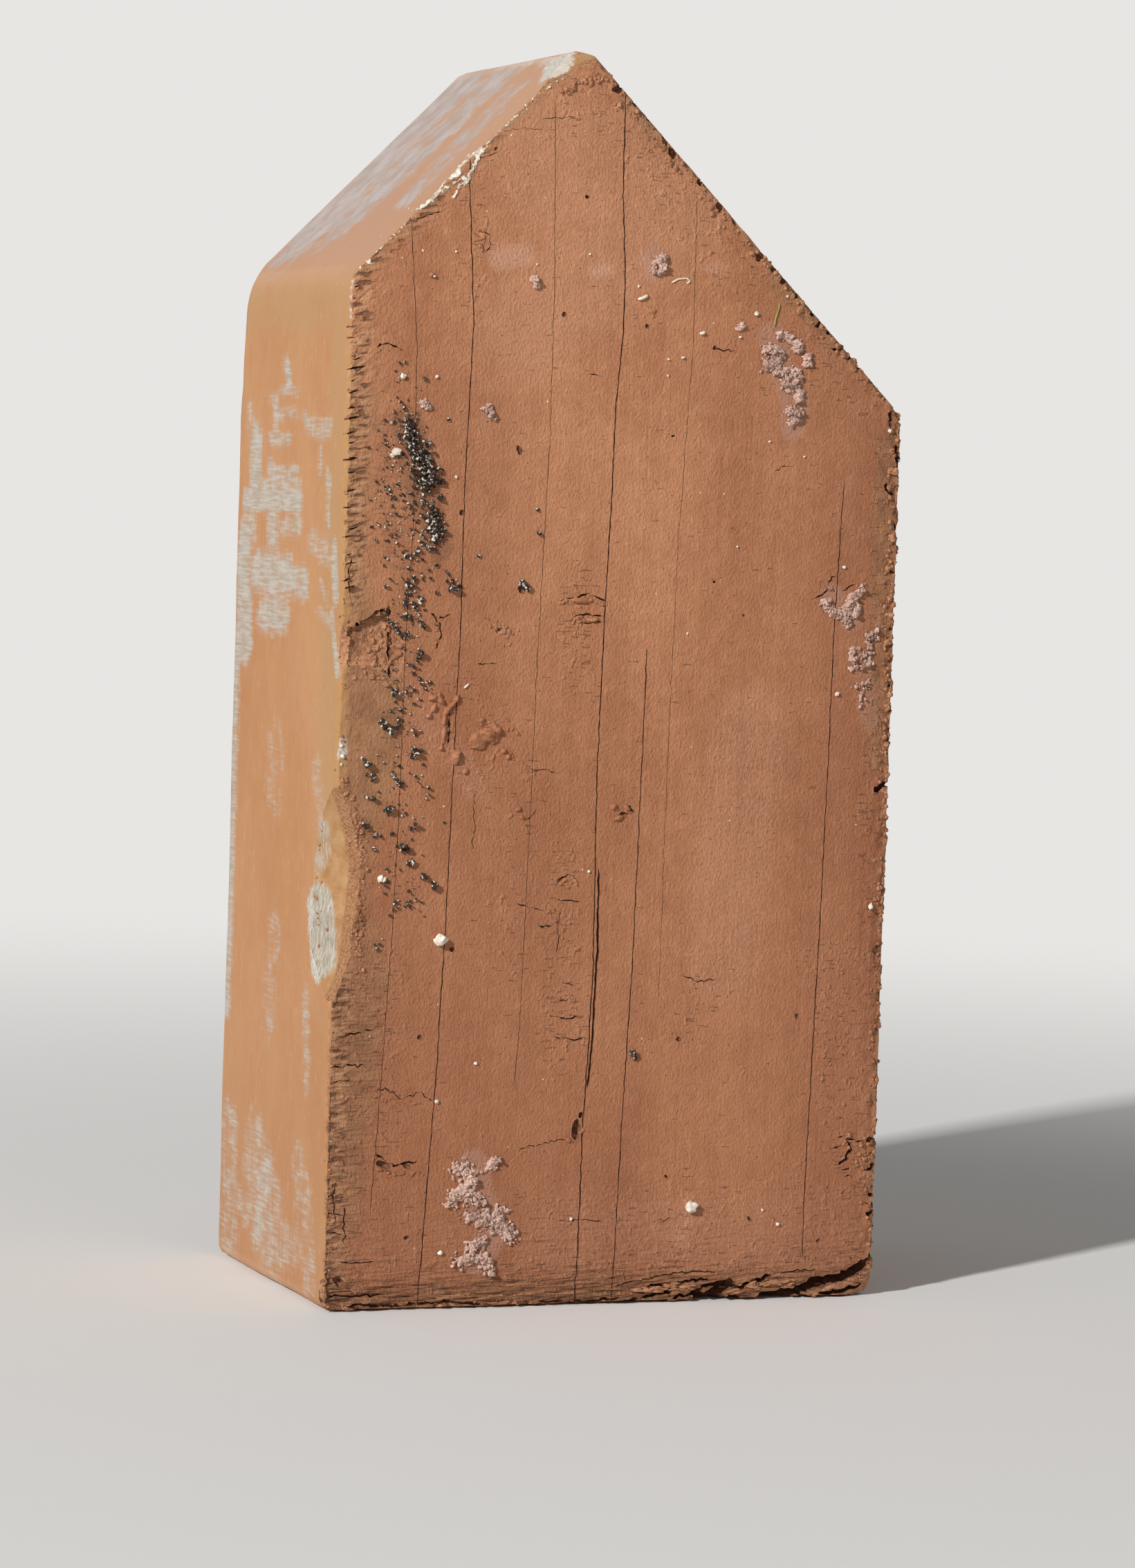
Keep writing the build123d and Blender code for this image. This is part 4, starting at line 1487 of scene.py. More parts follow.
def paint_body(piece):
    """Paint the body's bands, stains and slip marks."""
    x, y, z = places(piece.data).T
    under_slant = below_slants(x, z)
    inset = np.minimum.reduce([x - LEFT, RIGHT - x, under_slant, z])
    front_depth, back_depth = y - FRONT, BACK - y
    arris = np.interp(z, *ARRIS)
    front = fade(front_depth - inset, -0.1, 0.5) * fade(LEFT + arris - x, -0.5, 0.5)
    paint(piece, "bed", np.maximum(front, fade(back_depth - inset, -0.1, 0.5)))
    face = np.stack([x, z], axis=1)
    left_band = fade(x - LEFT - np.interp(z, *BAND_REACH), -7.0, 3.0) * np.interp(z, *BAND_SHARE)
    slant_band = 0.6 * fade(under_slant, 0.5, 4.0)
    foot_band = 0.55 * fade(z, 1.0, 12.0)
    right_band = np.maximum(0.55 * fade(RIGHT - x, 0.5, 6.0), strokes(face, TINT_MARKS))
    near_front = y < FRONT + 6
    paint_hollows(piece)
    paint(piece, "band", near_front * np.maximum.reduce([left_band, slant_band, foot_band, right_band]))
    deep = 0.95 * fade(z, 20, 150) * fade(x, -20, 60) + 0.8 * fade(RIGHT - x, 4, 45)
    deep = np.maximum(deep, 0.5 * fade(np.abs(x + 31), 6, 20) * fade(roof(x) - z, 60, 5))
    paint(piece, "deep", near_front * np.clip(deep, 0, 1))
    paint(piece, "rough", near_front * strokes(face, ROUGH_MARKS))
    # Darker, rippled clay along the foot and in part of the left band; its ripples get painted shade and
    # highlight
    low = 0.8 * fade(z, 1.0, 7.0) + 0.22 * fade(z, 5, 26)
    paint(piece, "dark_rippled", near_front * np.maximum(low, 0.45 * left_band * fade(z, 40, 75)))
    on_arris = np.interp(z, *RIBS) * fade(x - LEFT, 2.0, 6.0)
    on_slant_edge = 0.6 * fade(under_slant, 1, 5) * fade(x, -40, -8)
    paint(piece, "ribs", near_front * front * np.maximum(on_arris, on_slant_edge))
    paint(piece, "mortar", near_front * strokes(face, MORTAR_MARKS))
    paint(piece, "soot", near_front * strokes(face, SOOT_MARKS))
    on_left = x < LEFT + 2.5
    on_slant = (under_slant < 2.5) & (x < CREST_X)
    side_face, top_face = np.stack([y, z], axis=1), np.stack([y, x], axis=1)
    side = strokes(side_face, SLIP_MARKS) * on_left * ~on_slant
    slant = strokes(top_face, SLANT_MARKS) * on_slant
    paint(piece, "slip", np.maximum(side, slant))
    paint(piece, "slope", fade(under_slant, 1.0, 4.0) * (x < CREST_X) * fade(-x, 48, 52))
    paint(piece, "worn", on_left * strokes(side_face, WORN_MARKS))
    paint(piece, "pale", near_front * front * strokes(face, PALE_MARKS))
    # Silvery worn patches, partly a painted sheen, with a painted highlight near the shoulder
    silver = strokes(side_face, SILVER_MARKS) * (x < 0)
    on_crest = z > CREST_WEAR_FOOT
    paint(piece, "silver", np.where(on_crest, strokes(top_face, CREST_MARKS), silver))
    torn = np.where(on_crest, fade(front_depth, 0.5, 3.0), fade(front_depth, 1.8, 4.8))
    paint(piece, "torn", torn)


# Crumbs that stick to the front face


def crumb_shapes(count, coarse, seed, level=2, size=(1, 1, 1)):
    """A few lumps about a millimetre wide, as arrays of places and faces."""
    shapes = []
    for number in range(count):
        shape = rock((0, 0, 0), size, seed + number, coarse=coarse, level=level)
        faces = np.array([face.vertices[:] for face in shape.data.polygons])
        shapes.append((places(shape.data), faces))
        bpy.data.objects.remove(shape)
    return shapes


def strew(name, shapes, lumps, material, seed, spin=math.pi):
    """One mesh of many lumps. Each has a place, a normal, a size, a flatness and how deep it sits."""
    dice = random.Random(seed)
    all_places, all_faces, so_far = [], [], 0
    for place, normal, size, flat, sunk in lumps:
        spots, faces = dice.choice(shapes)
        spun = Matrix.Rotation(dice.uniform(-spin, spin), 3, "Z")
        wide, deep = size * dice.uniform(0.8, 1.25), size * dice.uniform(0.7, 1.1)
        shape = Matrix.Diagonal((wide, deep, size * flat))
        turn = Vector(normal).to_track_quat("Z", "Y").to_matrix()
        tumble = Matrix.Identity(3)
        if flat > 0.75:
            tumble = Matrix.Rotation(dice.uniform(0, 2 * math.pi), 3, "X")
        whole = np.array(turn @ spun @ shape @ tumble)
        middle = np.array(place) + np.array(normal) * size * flat * (0.5 - sunk)
        all_places.append((spots @ whole.T + middle) * MM)
        all_faces.append(faces + so_far)
        so_far += len(spots)
    mesh = bpy.data.meshes.new(name)
    mesh.from_pydata(np.concatenate(all_places).tolist(), [], np.concatenate(all_faces).tolist())
    mesh.materials.append(material)
    piece = new_object(name, mesh)
    take(piece)
    bpy.ops.object.shade_smooth_by_angle(angle=math.radians(32))
    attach(piece, "root")
    return piece


def clump(piece, voxel, grain, height, seed):
    """Melt a piece's lumps into crumbly masses."""
    melt = piece.modifiers.new("melt", "REMESH")
    melt.mode = "VOXEL"
    melt.voxel_size = voxel * MM
    melt.use_smooth_shade = True
    apply_all(piece)
    relief(piece, grain, height, seed, top=0.5, contrast=1.4)


def spread(tree, dice, face, path, reach, count, low, high, flat, sunk=0.25, heap=0.0):
    """Lumps strewn along a path on a face, most of them small and near the path, heaped up there."""
    lumps = []
    flat_path = resample(path, 0.5) if len(path) > 1 else np.array(path, dtype=float)
    for _ in range(count):
        a, b = flat_path[dice.randrange(len(flat_path))]
        aside, along = dice.gauss(0, reach / 2), dice.gauss(0, reach / 2)
        hit, normal = touch(tree, face, a + aside, b + along)
        if hit is not None:
            size = low + (high - low) * dice.random() ** 2.4
            lift = heap * dice.random() * math.exp(-2 * (aside**2 + along**2) / reach**2)
            lumps.append((hit + normal * lift, normal, size, flat * dice.uniform(0.8, 1.1), sunk))
    return lumps


def strewn(tree, dice, face, table, flat, sunk):
    """Lumps strewn along each row of a table: path, reach, count, smallest and largest size."""
    lumps = []
    for path, reach, count, low, high in table:
        lumps += spread(tree, dice, face, path, reach, count, low, high, flat=flat, sunk=sunk)
    return lumps


# Black grit: path, reach, count, sizes and how high it is heaped
GRIT = (
    (((-40.2, 152.0), (-39.6, 149.0)), 1.8, 90, 0.35, 0.9, 1.0),
    (((-38.6, 147.4), (-37.0, 143.2), (-35.8, 141.0)), 2.4, 210, 0.35, 1.1, 1.3),
    (((-36.0, 136.6), (-34.2, 133.6), (-35.4, 131.0)), 1.7, 120, 0.35, 1.1, 1.0),
    (((-39.0, 139.0), (-37.0, 131.0)), 2.4, 60, 0.3, 0.8, 0.3),
    (((-43.6, 151.0), (-42.0, 129.0)), 3.6, 150, 0.25, 0.7, 0.0),
    (((-38.5, 128.0), (-39.5, 118.0)), 3.8, 80, 0.25, 1.1, 0.0),
    (((-38.5, 118.0), (-40.0, 100.0)), 4.0, 80, 0.25, 1.0, 0.0),
    (((-39.0, 100.0), (-40.5, 70.0)), 5.0, 90, 0.2, 0.9, 0.0),
    (((-41.5, 160.0), (-40.0, 152.5)), 2.6, 26, 0.25, 0.8, 0.0),
    (((-33.0, 126.0), (-31.0, 123.0)), 1.4, 14, 0.3, 1.0, 0.3),
)
# Single knots of black grit
GRIT_KNOTS = (
    (-31.6, 123.5), (-37.6, 121.9), (-38.0, 119.7), (-36.8, 117.0), (-39.9, 115.8), (-41.8, 117.3),
    (-36.9, 112.4), (-35.4, 106.9), (-37.8, 104.5), (-41.4, 105.5), (-43.3, 100.3), (-41.5, 99.3),
    (-37.4, 99.1), (-37.5, 95.4), (-45.6, 93.4), (-45.1, 91.3), (-36.7, 90.5), (-39.4, 90.0),
    (-34.8, 88.8), (-45.2, 87.6), (-42.0, 85.7), (-37.1, 83.3), (-45.5, 82.9), (-43.2, 81.6),
    (-39.1, 79.2), (-38.1, 77.1), (-34.8, 74.3), (-33.4, 73.2), (-40.4, 69.9), (-37.8, 69.5),
    (-36.1, 70.8), (-43.3, 63.2),
)
# Lone grains of black grit: place and size
LONE_GRIT = (
    (-36.4, 176.1, 0.8), (-18.9, 124.6, 1.8), (-18.0, 123.8, 1.2), (3.8, 43.9, 1.5),
    (4.3, 43.0, 0.9), (-16.6, 137.3, 0.8), (-16.2, 133.2, 1.0), (-33.1, 152.1, 0.7),
    (-27.0, 129.2, 0.7), (-38.0, 79.0, 1.3),
)
# Mortar crumbs: path, reach and count
MORTAR = (
    (((-27.7, 24.4), (-25.3, 23.7), (-24.4, 21.6)), 1.5, 110),
    (((-21.9, 24.3), (-20.2, 25.8)), 0.9, 40),
    (((-28.8, 18.4), (-26.5, 20.2), (-23.1, 18.4)), 1.3, 110),
    (((-25.7, 15.8), (-21.0, 15.6), (-19.0, 17.0)), 1.4, 120),
    (((-21.0, 14.6), (-18.2, 13.6), (-17.2, 11.9)), 1.2, 90),
    (((-22.9, 12.0), (-24.8, 10.0)), 1.2, 60),
    (((-26.8, 8.6), (-24.8, 8.4), (-21.4, 8.6), (-21.0, 6.0)), 1.2, 110),
    (((24.3, 165.9), (27.1, 165.7), (26.3, 163.6), (24.4, 163.2)), 1.1, 130),
    (((26.7, 168.7), (29.0, 168.3)), 0.7, 36),
    (((30.3, 166.7),), 1.1, 36),
    (((32.3, 165.2), (32.3, 164.0)), 0.7, 26),
    (((26.4, 162.4), (30.6, 162.3), (30.2, 160.2), (28.1, 160.1), (28.4, 161.4)), 1.0, 150),
    (((31.0, 158.8), (30.9, 157.6)), 0.8, 34),
    (((28.8, 155.7), (31.3, 155.5), (29.6, 153.4)), 0.9, 70),
    (((4.2, 180.6), (5.2, 181.4), (5.1, 179.1), (4.1, 178.4)), 0.7, 56),
    (((3.3, 180.2), (3.0, 178.7)), 0.5, 12),
    (((37.0, 122.8), (38.0, 121.3), (39.8, 120.6)), 0.9, 60),
    (((44.0, 124.8), (42.4, 123.4), (41.4, 121.2), (41.4, 119.2)), 0.9, 90),
    (((39.9, 121.2), (41.4, 119.4), (42.9, 120.4), (43.4, 122.2)), 0.8, 60),
    (((42.6, 114.4), (43.1, 111.4)), 0.9, 20),
    (((46.7, 118.2), (45.7, 115.3), (45.3, 111.6)), 1.5, 34),
    (((43.9, 108.1), (45.7, 108.8), (45.2, 106.1), (44.3, 105.2)), 1.0, 20),
    (((-37.8, 154.5), (-36.6, 154.2)), 0.7, 20),
    (((-26.2, 154.4), (-25.4, 152.8)), 1.0, 22),
    (((-18.5, 176.6), (-18.1, 175.1)), 0.6, 26),
    (((19.8, 169.8),), 0.8, 14),
)
# White crust beside the front arris of the left slant: path, reach, count and sizes. The
# places are distances back from the middle, and places across the width
CRUST = (
    (((-31.8, -29.0), (-31.0, -31.0), (-31.9, -33.4)), 0.5, 150, 0.35, 0.9),
    (((-31.9, -33.4), (-31.2, -35.0), (-32.0, -36.6), (-31.6, -39.0)), 0.35, 130, 0.3, 0.75),
    (((-29.4, -30.2), (-30.8, -31.4)), 0.6, 40, 0.25, 0.6),
    (((-32.0, -29.0), (-32.1, -14.5)), 0.3, 190, 0.25, 0.6),
    (((-31.9, -50.8), (-32.1, -39.0)), 0.35, 120, 0.25, 0.65),
)
# And on the front face below it: path, reach and count
VEIN = (
    (((-28.9, 197.4), (-29.6, 195.2), (-30.6, 193.2), (-31.6, 191.8)), 0.45, 110),
    (((-31.0, 193.0), (-33.0, 192.2), (-35.4, 190.6), (-37.4, 188.8)), 0.35, 90),
    (((-32.2, 191.4), (-33.4, 189.4)), 0.3, 30),
    (((-38.4, 188.0), (-40.4, 186.6)), 0.4, 40),
)
# Clay that stands up beside tears and drag lines: path, reach, count and sizes
TEARS = (
    (((-35.0, 105.4), (-33.2, 104.9), (-32.3, 103.6)), 0.35, 16, 0.6, 1.2),
    (((-32.1, 102.2), (-32.2, 99.8), (-32.3, 97.0)), 0.3, 20, 0.5, 1.0),
    (((-30.5, 95.6), (-30.3, 93.8)), 0.4, 10, 0.8, 1.4),
    (((-29.8, 105.6), (-30.8, 103.8), (-31.8, 102.4)), 0.25, 16, 0.4, 0.8),
    (((-20.5, 100.6), (-18.9, 98.9)), 0.6, 16, 0.3, 0.7),
    (((-20.4, 95.4), (-18.0, 93.7)), 0.6, 14, 0.3, 0.7),
    (((-24.9, 117.9), (-20.1, 115.8)), 1.0, 30, 0.4, 1.0),
    (((-26.6, 97.4), (-25.0, 98.6), (-22.9, 98.2)), 1.1, 34, 1.0, 2.2),
    (((-22.6, 100.6), (-25.8, 100.4)), 0.7, 14, 0.5, 0.9),
    (((-12.0, 121.6), (-8.6, 122.4), (-3.6, 121.4)), 0.35, 34, 0.4, 0.9),
    (((-9.9, 118.4), (-5.0, 118.6)), 0.35, 24, 0.4, 0.9),
    (((-9.0, 116.4), (-6.2, 115.4)), 0.3, 10, 0.4, 0.7),
    (((-10.8, 72.6), (-9.2, 74.2), (-7.2, 73.4)), 0.35, 18, 0.4, 0.9),
    (((-12.4, 68.4), (-9.2, 65.6), (-9.4, 61.2)), 0.4, 20, 0.3, 0.8),
    (((-10.2, 73.0), (-8.2, 72.4)), 0.3, 8, 0.4, 0.8),
    (((-42.9, 36.9), (-38.2, 35.8), (-33.0, 35.8)), 0.4, 30, 0.3, 0.7),
    (((-43.4, 25.0), (-38.8, 23.6), (-34.2, 23.8)), 0.5, 34, 0.4, 0.9),
    (((-7.4, 28.8), (-4.6, 30.4)), 0.5, 16, 0.5, 1.1),
    (((36.2, 125.6), (39.4, 124.6)), 0.4, 16, 0.4, 0.8),
    (((-28.6, 184.2), (-27.6, 182.4), (-28.2, 180.8)), 0.6, 24, 0.4, 1.0),
    (((-46.0, 163.2), (-43.0, 163.0)), 0.3, 14, 0.3, 0.7),
    (((2.2, 172.2), (3.6, 171.8), (3.2, 170.8)), 0.35, 14, 0.4, 0.9),
    (((27.4, 146.2), (33.2, 145.0)), 0.5, 14, 0.25, 0.5),
    (((-33.6, 118.6), (-34.2, 113.6)), 0.5, 18, 0.4, 0.8),
    (((-23.8, 117.8), (-21.2, 114.6)), 1.0, 20, 0.4, 0.8),
    (((-1.2, 86.6), (1.6, 84.0)), 0.9, 18, 0.3, 0.7),
    (((13.6, 57.0), (20.6, 54.4)), 1.6, 26, 0.3, 0.6),
    (((10.6, 47.6), (13.4, 44.8)), 1.2, 20, 0.3, 0.7),
    (((31.4, 14.2), (32.4, 13.4)), 0.5, 8, 0.4, 0.8),
    (((-43.2, 110.6), (-40.2, 113.6)), 1.0, 20, 0.5, 1.3),
    (((-44.5, 108.2), (-41.0, 106.6)), 0.8, 20, 0.4, 1.2),
)
# Loose clay along the arrises: path, reach, count and sizes
LOOSE = (
    (((50.2, 4), (50.0, 150)), 1.6, 110, 0.2, 0.9),
    (((49.6, 96), (49.4, 154)), 1.5, 130, 0.3, 1.3),
    (((50.0, 12), (49.8, 96)), 1.4, 110, 0.3, 1.1),
    (((-9, 213), (50, 155)), 1.2, 110, 0.2, 0.7),
    (((-5, 209.4), (8, 196.4), (26, 178.6), (47, 158)), 1.2, 150, 0.3, 1.2),
    (((-14.5, 208.0), (-9.5, 210.8), (-5.5, 211.0)), 0.8, 60, 0.3, 1.1),
    (((-50.2, 4), (-50.2, 170)), 1.2, 150, 0.2, 0.8),
    (((-48, 1.5), (10, 1.5)), 1.2, 40, 0.2, 0.6),
    (((-46, 110), (-43, 117)), 2.6, 60, 0.3, 1.1),
    (((46, 27), (50, 24)), 2.6, 60, 0.25, 0.9),
    (((-46.2, 58), (-46.4, 82)), 1.0, 60, 0.3, 0.9),
    (((-46.2, 82), (-49.8, 91)), 0.8, 40, 0.3, 0.9),
    (((-46.6, 61), (-46.4, 74), (-47.6, 85)), 1.1, 130, 0.3, 1.0),
)
# Flakes torn loose along the foot: path, reach, count and sizes
FLAKES = (
    (((7, 2.2), (12, 2.6), (17, 3.0)), 0.6, 30, 0.4, 0.9),
    (((24, 1.4), (29, 3.0), (36, 3.0)), 0.8, 40, 0.4, 1.0),
    (((40, 1.6), (46, 2.2), (49, 3.4)), 0.8, 30, 0.4, 1.0),
)
# Larger lumps of raised clay: place, length, width, height and slope in degrees
LUMPS = (
    (-26.3, 97.9, 3.4, 2.4, 1.9, 20),
    (-24.2, 98.7, 3.8, 2.8, 2.3, 8),
    (-22.9, 99.6, 1.8, 2.2, 2.2, 60),
    (-25.4, 101.2, 1.2, 0.9, 1.1, 30),
    (-21.4, 96.0, 1.1, 0.9, 1.1, 40),
    (-20.6, 95.0, 1.1, 0.9, 1.0, 60),
    (-34.4, 104.9, 1.9, 1.0, 1.5, 10),
    (-33.0, 104.4, 1.7, 1.0, 1.5, -35),
    (-31.7, 102.8, 1.7, 0.9, 1.5, 62),
    (-32.2, 101.1, 1.9, 0.9, 1.5, 84),
    (-32.2, 98.8, 2.2, 1.0, 1.5, 85),
    (-32.7, 96.4, 1.1, 0.7, 1.1, 70),
    (-30.5, 104.4, 2.9, 0.8, 1.4, 58),
    (-30.0, 94.9, 2.7, 1.6, 1.9, 72),
    (-34.2, 103.2, 1.8, 0.9, 1.2, 60),
    (-35.0, 101.8, 1.4, 0.9, 1.1, 20),
    (-28.2, 92.4, 1.4, 0.9, 1.0, 30),
    (-8.4, 121.9, 3.8, 0.9, 1.4, -4),
    (-5.6, 118.7, 2.0, 0.8, 1.1, 10),
    (-8.6, 119.0, 1.8, 0.8, 1.1, 20),
    (-1.0, 86.6, 1.5, 0.9, 1.1, 40),
    (1.4, 86.4, 1.5, 0.9, 1.1, -30),
    (0.0, 84.6, 1.9, 0.9, 1.1, 20),
    (-18.4, 86.0, 1.4, 0.8, 1.0, 20),
    (-17.6, 84.6, 1.2, 0.8, 1.0, -20),
    (3.0, 171.8, 1.2, 1.0, 0.7, 0),
    (-36.8, 176.3, 1.1, 0.9, 1.3, 20),
)
# Pale specks: place and size
PALE_SPECKS = (
    (-31.8, 63.7, 2.2), (-32.5, 63.5, 1.3), (-41.4, 159.1, 1.1), (-35.4, 159.2, 0.7),
    (-42.9, 74.1, 1.2), (-42.2, 73.9, 0.9), (47.9, 69.3, 1.1), (-20.0, 15.1, 0.9),
    (48.4, 152.8, 0.7), (-6.5, 15.2, 0.6), (-31.4, 142.4, 0.6), (-42.2, 146.4, 1.5),
    (-42.9, 145.8, 0.9), (-31.6, 36.0, 0.8), (40.6, 128.8, 0.7), (15.7, 16.9, 2.3),
    (-30.2, 9.9, 0.9), (-24.8, 42.4, 0.6), (29.2, 16.0, 0.5), (32.2, 13.4, 0.7), (-5.2, 75.4, 0.5),
    (12.6, 168.4, 0.9), (9.1, 164.1, 0.7), (6.5, 163.7, 0.5), (6.5, 160.9, 0.4), (19.6, 168.0, 0.6),
    (22.5, 172.2, 0.9), (28.3, 175.4, 0.5), (32.4, 147.8, 0.4), (40.1, 106.6, 0.8),
    (11.6, 116.7, 0.4), (20.4, 131.9, 0.4), (25.8, 150.2, 0.4), (-8.5, 181.0, 0.4),
    (-18.0, 178.9, 0.5), (-32.6, 180.4, 0.4), (0.6, 176.0, 0.5), (-50.4, 96.6, 0.6),
    (-50.1, 94.8, 0.8), (-50.3, 93.4, 0.5),
)
# Dry stalks that stick to the face: path and width
STALKS = (
    (((6.6, 176.8), (7.8, 177.5), (9.3, 177.7), (10.0, 177.2), (9.4, 176.8)), 0.32),
    (((0.5, 173.7), (1.4, 174.0), (2.3, 174.5)), 0.62),
    (((-28.9, 106.6), (-28.0, 107.4)), 0.4),
)
GREEN_STALKS = ((((25.9, 170.1), (26.2, 171.8), (26.6, 173.0), (26.8, 174.1)), 0.34),)


def stalks(name, tree, paths, material):
    """Dry stalks lying on the front face, as one piece."""
    made = []
    for path, width in paths:
        spots = []
        for x, z in resample(path, 0.3):
            hit, _ = touch(tree, "front", x, z)
            spots.append((x, hit.y - 0.35 * width, z))
        swell = [0.4] + [1.0] * (len(spots) - 2) + [0.4]
        made.append(tube(name, spots, width / 2, swell))
    first, *others = made
    for other in others:
        combine(first, other, "UNION")
    first.data.materials.clear()
    first.data.materials.append(material)
    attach(first, "root")


def add_grit(tree, dice, shapes):
    """Black grit in heaps, knots and lone grains."""
    grit = []
    for path, reach, count, low, high, heap in GRIT:
        grit += spread(tree, dice, "front", path, reach, count, low, high, flat=1.2, heap=heap)
    for knot in GRIT_KNOTS:
        count, high = dice.randint(3, 7), dice.uniform(0.8, 1.5)
        grit += spread(
            tree, dice, "front", (knot,), 0.9, count, 0.4, high, flat=1.2, sunk=0.15, heap=0.7
        )
    for x, z, size in LONE_GRIT:
        hit, normal = touch(tree, "front", x, z)
        flat, sunk = 0.9, 0.2
        grit.append((hit, normal, size, flat, sunk))
    coal = lump_material(
        "black_grit", (18, 14, 12), (76, 60, 50), 0.6, grain=0.4, height=0.3, glint=(220, 212, 198)
    )
    strew("black_grit", shapes, grit, coal, 1)


def add_mortar(tree, dice, shapes):
    """Mortar melted into crumbly masses, with loose gravel of it on top."""
    mortar, gravel = [], []
    for path, reach, count in MORTAR:
        mortar += spread(
            tree, dice, "front", path, reach, count, 0.5, 1.2, flat=0.8, sunk=0.35, heap=0.2
        )
        gravel += spread(
            tree, dice, "front", path, 0.9 * reach, count, 0.35, 0.9, flat=1.0, sunk=0.2, heap=0.8
        )
    lime = lump_material(
        "mortar_crumbs", (152, 116, 100), (234, 198, 180), 0.95, grain=0.35, height=0.35
    )
    crumbs = strew("mortar_crumbs", shapes, mortar, lime, 2)
    clump(crumbs, voxel=0.24, grain=0.45, height=0.55, seed=61)
    strew("mortar_gravel", shapes, gravel, lime, 12)


def add_crust(tree, dice, shapes):
    """White crust along the left slant's arris, and in a vein below it."""
    crust = strewn(tree, dice, "slant", CRUST, flat=0.5, sunk=0.35)
    for path, reach, count in VEIN:
        crust += spread(tree, dice, "front", path, reach, count, 0.3, 0.8, flat=0.5, sunk=0.35)
    white = lump_material("white_crust", (150, 128, 100), (244, 236, 222), 0.8, grain=0.8)
    crumbs = strew("white_crust", shapes, crust, white, 3)
    clump(crumbs, voxel=0.16, grain=0.5, height=0.35, seed=62)


def add_loose_clay(tree, dice, shapes):
    """Loose crumbs of the brick's own clay, and flakes along its foot."""
    crumbs = strewn(tree, dice, "front", LOOSE, flat=0.7, sunk=0.4)
    paint_like(strew("loose_clay", shapes, crumbs, finishes["broken"], 4), brick)
    slivers = strewn(tree, dice, "front", FLAKES, flat=0.8, sunk=0.2)
    thin = crumb_shapes(4, coarse=0.9, seed=350, size=(2.6, 0.8, 1))
    paint_like(strew("torn_flakes", thin, slivers, finishes["broken"], 8, spin=0.3), brick)


def add_crumbs():
    """Black grit, mortar, white crust, loose clay, pale specks and dry stalks."""
    tree = surface(brick)
    dice = random.Random(7)
    sharp = crumb_shapes(6, coarse=1.1, seed=300, level=1)
    round_ones = crumb_shapes(5, coarse=0.9, seed=320)
    add_grit(tree, dice, sharp)
    add_mortar(tree, dice, sharp)
    add_crust(tree, dice, sharp)
    add_loose_clay(tree, dice, round_ones)
    pale = []
    for x, z, size in PALE_SPECKS:
        hit, normal = touch(tree, "front", x, z)
        flat, sunk = 0.75, 0.12
        pale.append((hit, normal, size, flat, sunk))
    chalk = lump_material("pale_specks", (206, 190, 168), (246, 238, 226), 0.6)
    strew("pale_specks", round_ones, pale, chalk, 5)
    straw = lump_material("dry_stalks", (206, 190, 158), (240, 232, 214), 0.7)
    stalks("dry_stalks", tree, STALKS, straw)
    green = lump_material("green_stalk", (120, 112, 44), (166, 152, 76), 0.7)
    stalks("green_stalk", tree, GREEN_STALKS, green)


def add_tears():
    """Clay of the face itself, raised beside tears and drag lines."""
    tree = surface(brick)
    dice = random.Random(9)
    small = strewn(tree, dice, "front", TEARS, flat=0.6, sunk=0.4)
    shapes = crumb_shapes(4, coarse=0.7, seed=340)
    tears = strew("raised_tears", shapes, small, finishes["clay"], 6)
    lumps = []
    for seed, (x, z, length, width, height, slope) in enumerate(LUMPS):
        hit, _ = touch(tree, "front", x, z)
        turn = -math.radians(slope)
        lumps.append(rock((x, hit.y, z), (length, height, width), 500 + seed, turn=turn, coarse=0.5))
    take(tears)
    for lump in lumps:
        lump.select_set(True)
    bpy.ops.object.join()
    clump(tears, voxel=0.2, grain=0.8, height=0.2, seed=63)
    paint_like(tears, brick)


brick = fine_block()
wrap_on(brick, rounded_form())
dress(brick, "clay")
weather(brick)
break_up(brick)
paint_body(brick)
take(brick)
bpy.ops.object.shade_smooth_by_angle(angle=math.radians(50))
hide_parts("clay_brick")
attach(brick, "root")
add_crumbs()
add_tears()


# Camera and light


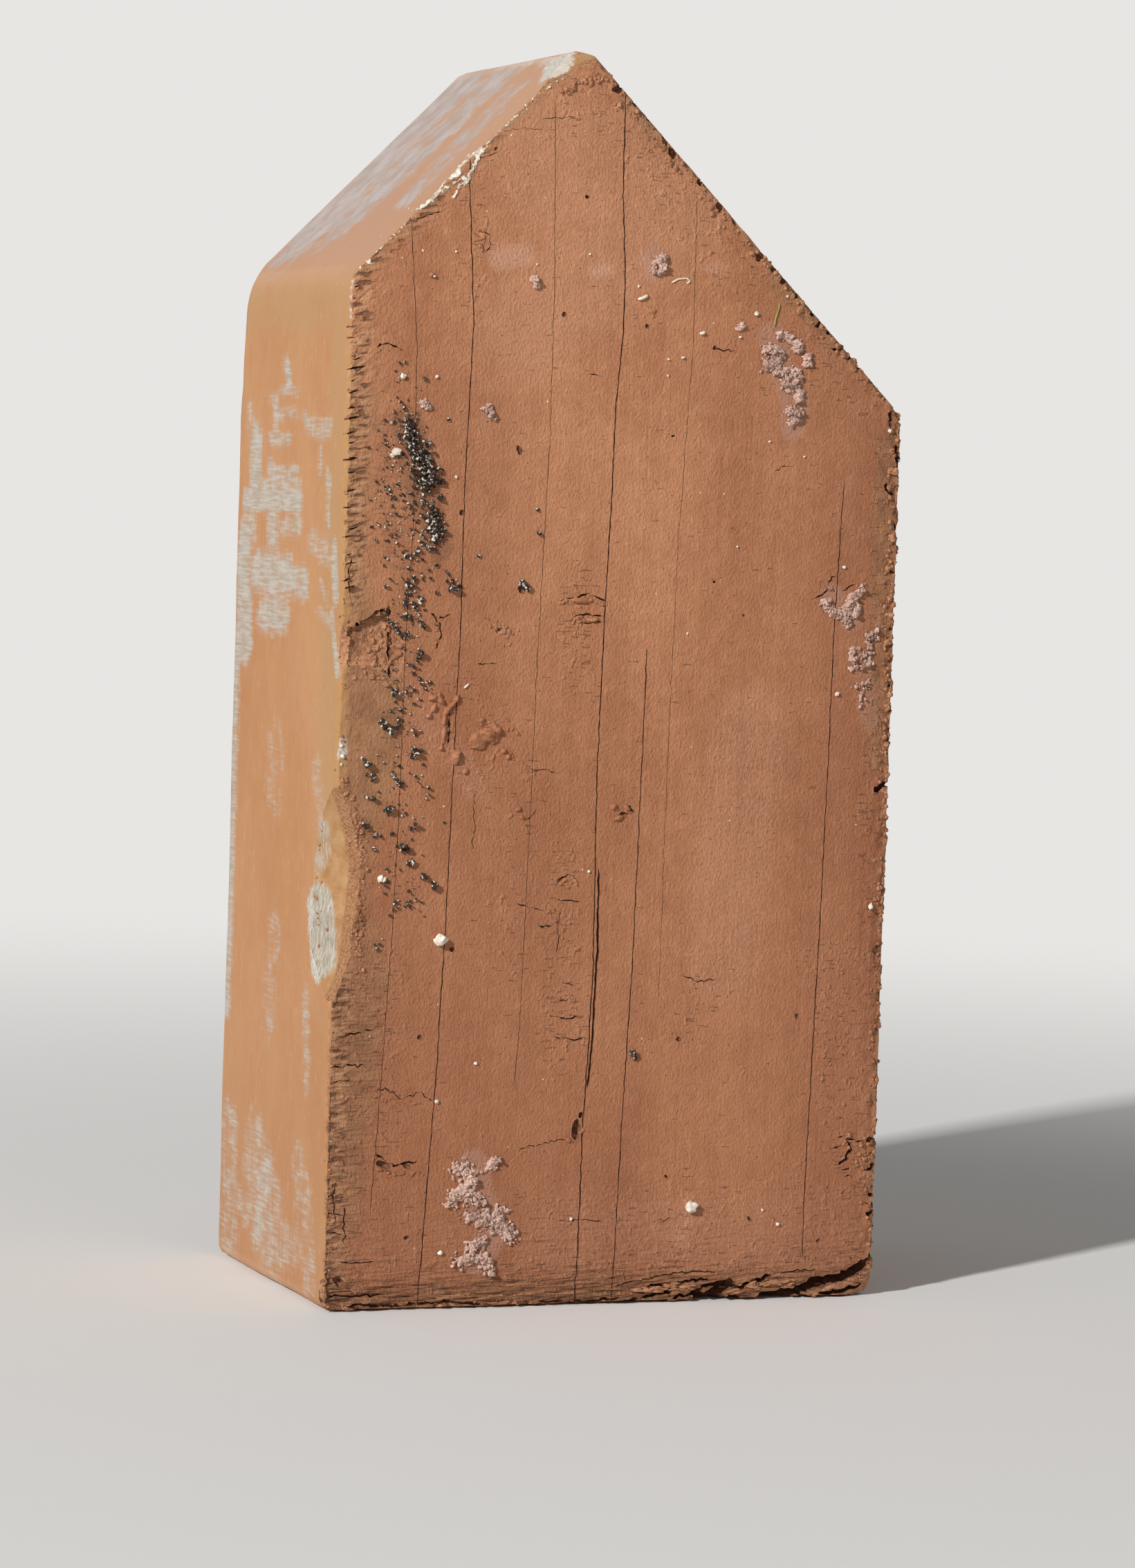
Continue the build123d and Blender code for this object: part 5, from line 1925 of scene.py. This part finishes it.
def add_camera():
    """The camera, at the photograph's viewing angle."""
    azimuth, elevation, roll = (math.radians(angle) for angle in (-20.324, 3.472, 1.78))
    target, distance = Vector((2.361, 0, 88.364)) * MM, 889.172 * MM
    focal_pixels, long_side_pixels, sensor = 7205.9, 2268, 36
    level = math.cos(elevation)
    back = Vector((math.sin(azimuth) * level, -math.cos(azimuth) * level, math.sin(elevation)))
    lens = bpy.data.cameras.new("camera")
    lens.sensor_width = sensor
    lens.lens = focal_pixels * sensor / long_side_pixels
    view = new_object("camera", lens)
    view.location = target + back * distance
    turn = (-back).to_track_quat("-Z", "Y").to_matrix() @ Matrix.Rotation(roll, 3, "Z")
    view.rotation_euler = turn.to_euler()
    bpy.context.scene.camera = view


def add_light(name, way, distance, size, power):
    """A square soft light that shines on the brick from a direction. Distances are in metres."""
    lamp = bpy.data.lights.new(name, "AREA")
    lamp.energy = power
    lamp.size = size
    light = new_object(name, lamp)
    way = Vector(way).normalized()
    aim = Vector((0, 0, 0.1))
    light.location = aim + way * distance
    light.rotation_euler = (-way).to_track_quat("-Z", "Y").to_euler()


def add_studio():
    """Soft light, and a pale floor that runs out into a backdrop of its own colour."""
    backdrop = (0.80, 0.79, 0.77, 1)
    world = bpy.data.worlds.new("studio")
    bpy.context.scene.world = world
    g = Graph(world)
    glow = world.node_tree.nodes["Background"]
    glow.inputs["Color"].default_value = (1, 1, 1, 1)
    glow.inputs["Strength"].default_value = 0.22
    wall = g.node("ShaderNodeBackground", {}, {"Color": backdrop, "Strength": 1.0})
    shown = g.node("ShaderNodeMixShader", {}, [g.seen(), Wire(g, glow.outputs[0]), wall])
    g.feed(world.node_tree.nodes["World Output"].inputs["Surface"], shown)
    bpy.context.scene.view_settings.view_transform = "Standard"
    add_light("key", (-0.74, -0.50, 0.45), distance=6, size=0.3, power=385)

    clear_selection()
    bpy.ops.mesh.primitive_circle_add(vertices=96, radius=3, fill_type="NGON")
    floor = bpy.context.object
    floor.name = floor.data.name = "floor"
    paint_floor = bpy.data.materials.new("floor")
    floor.data.materials.append(paint_floor)
    g = Graph(paint_floor)
    g.shader.inputs["Base Color"].default_value = backdrop
    g.shader.inputs["Roughness"].default_value = 0.9
    # The floor turns into the backdrop between these distances from the brick, in millimetres
    floor_near, floor_far = 150, 750
    away = g.vector("LENGTH", g.spot)
    away = Wire(g, away.socket.node.outputs["Value"]).rise(floor_near, floor_far) * g.seen()
    far = g.node("ShaderNodeEmission", {}, {"Color": backdrop, "Strength": 1.0})
    mixed = g.node("ShaderNodeMixShader", {}, [away, Wire(g, g.shader.outputs[0]), far])
    g.feed(paint_floor.node_tree.nodes["Material Output"].inputs["Surface"], mixed)


add_camera()
add_studio()
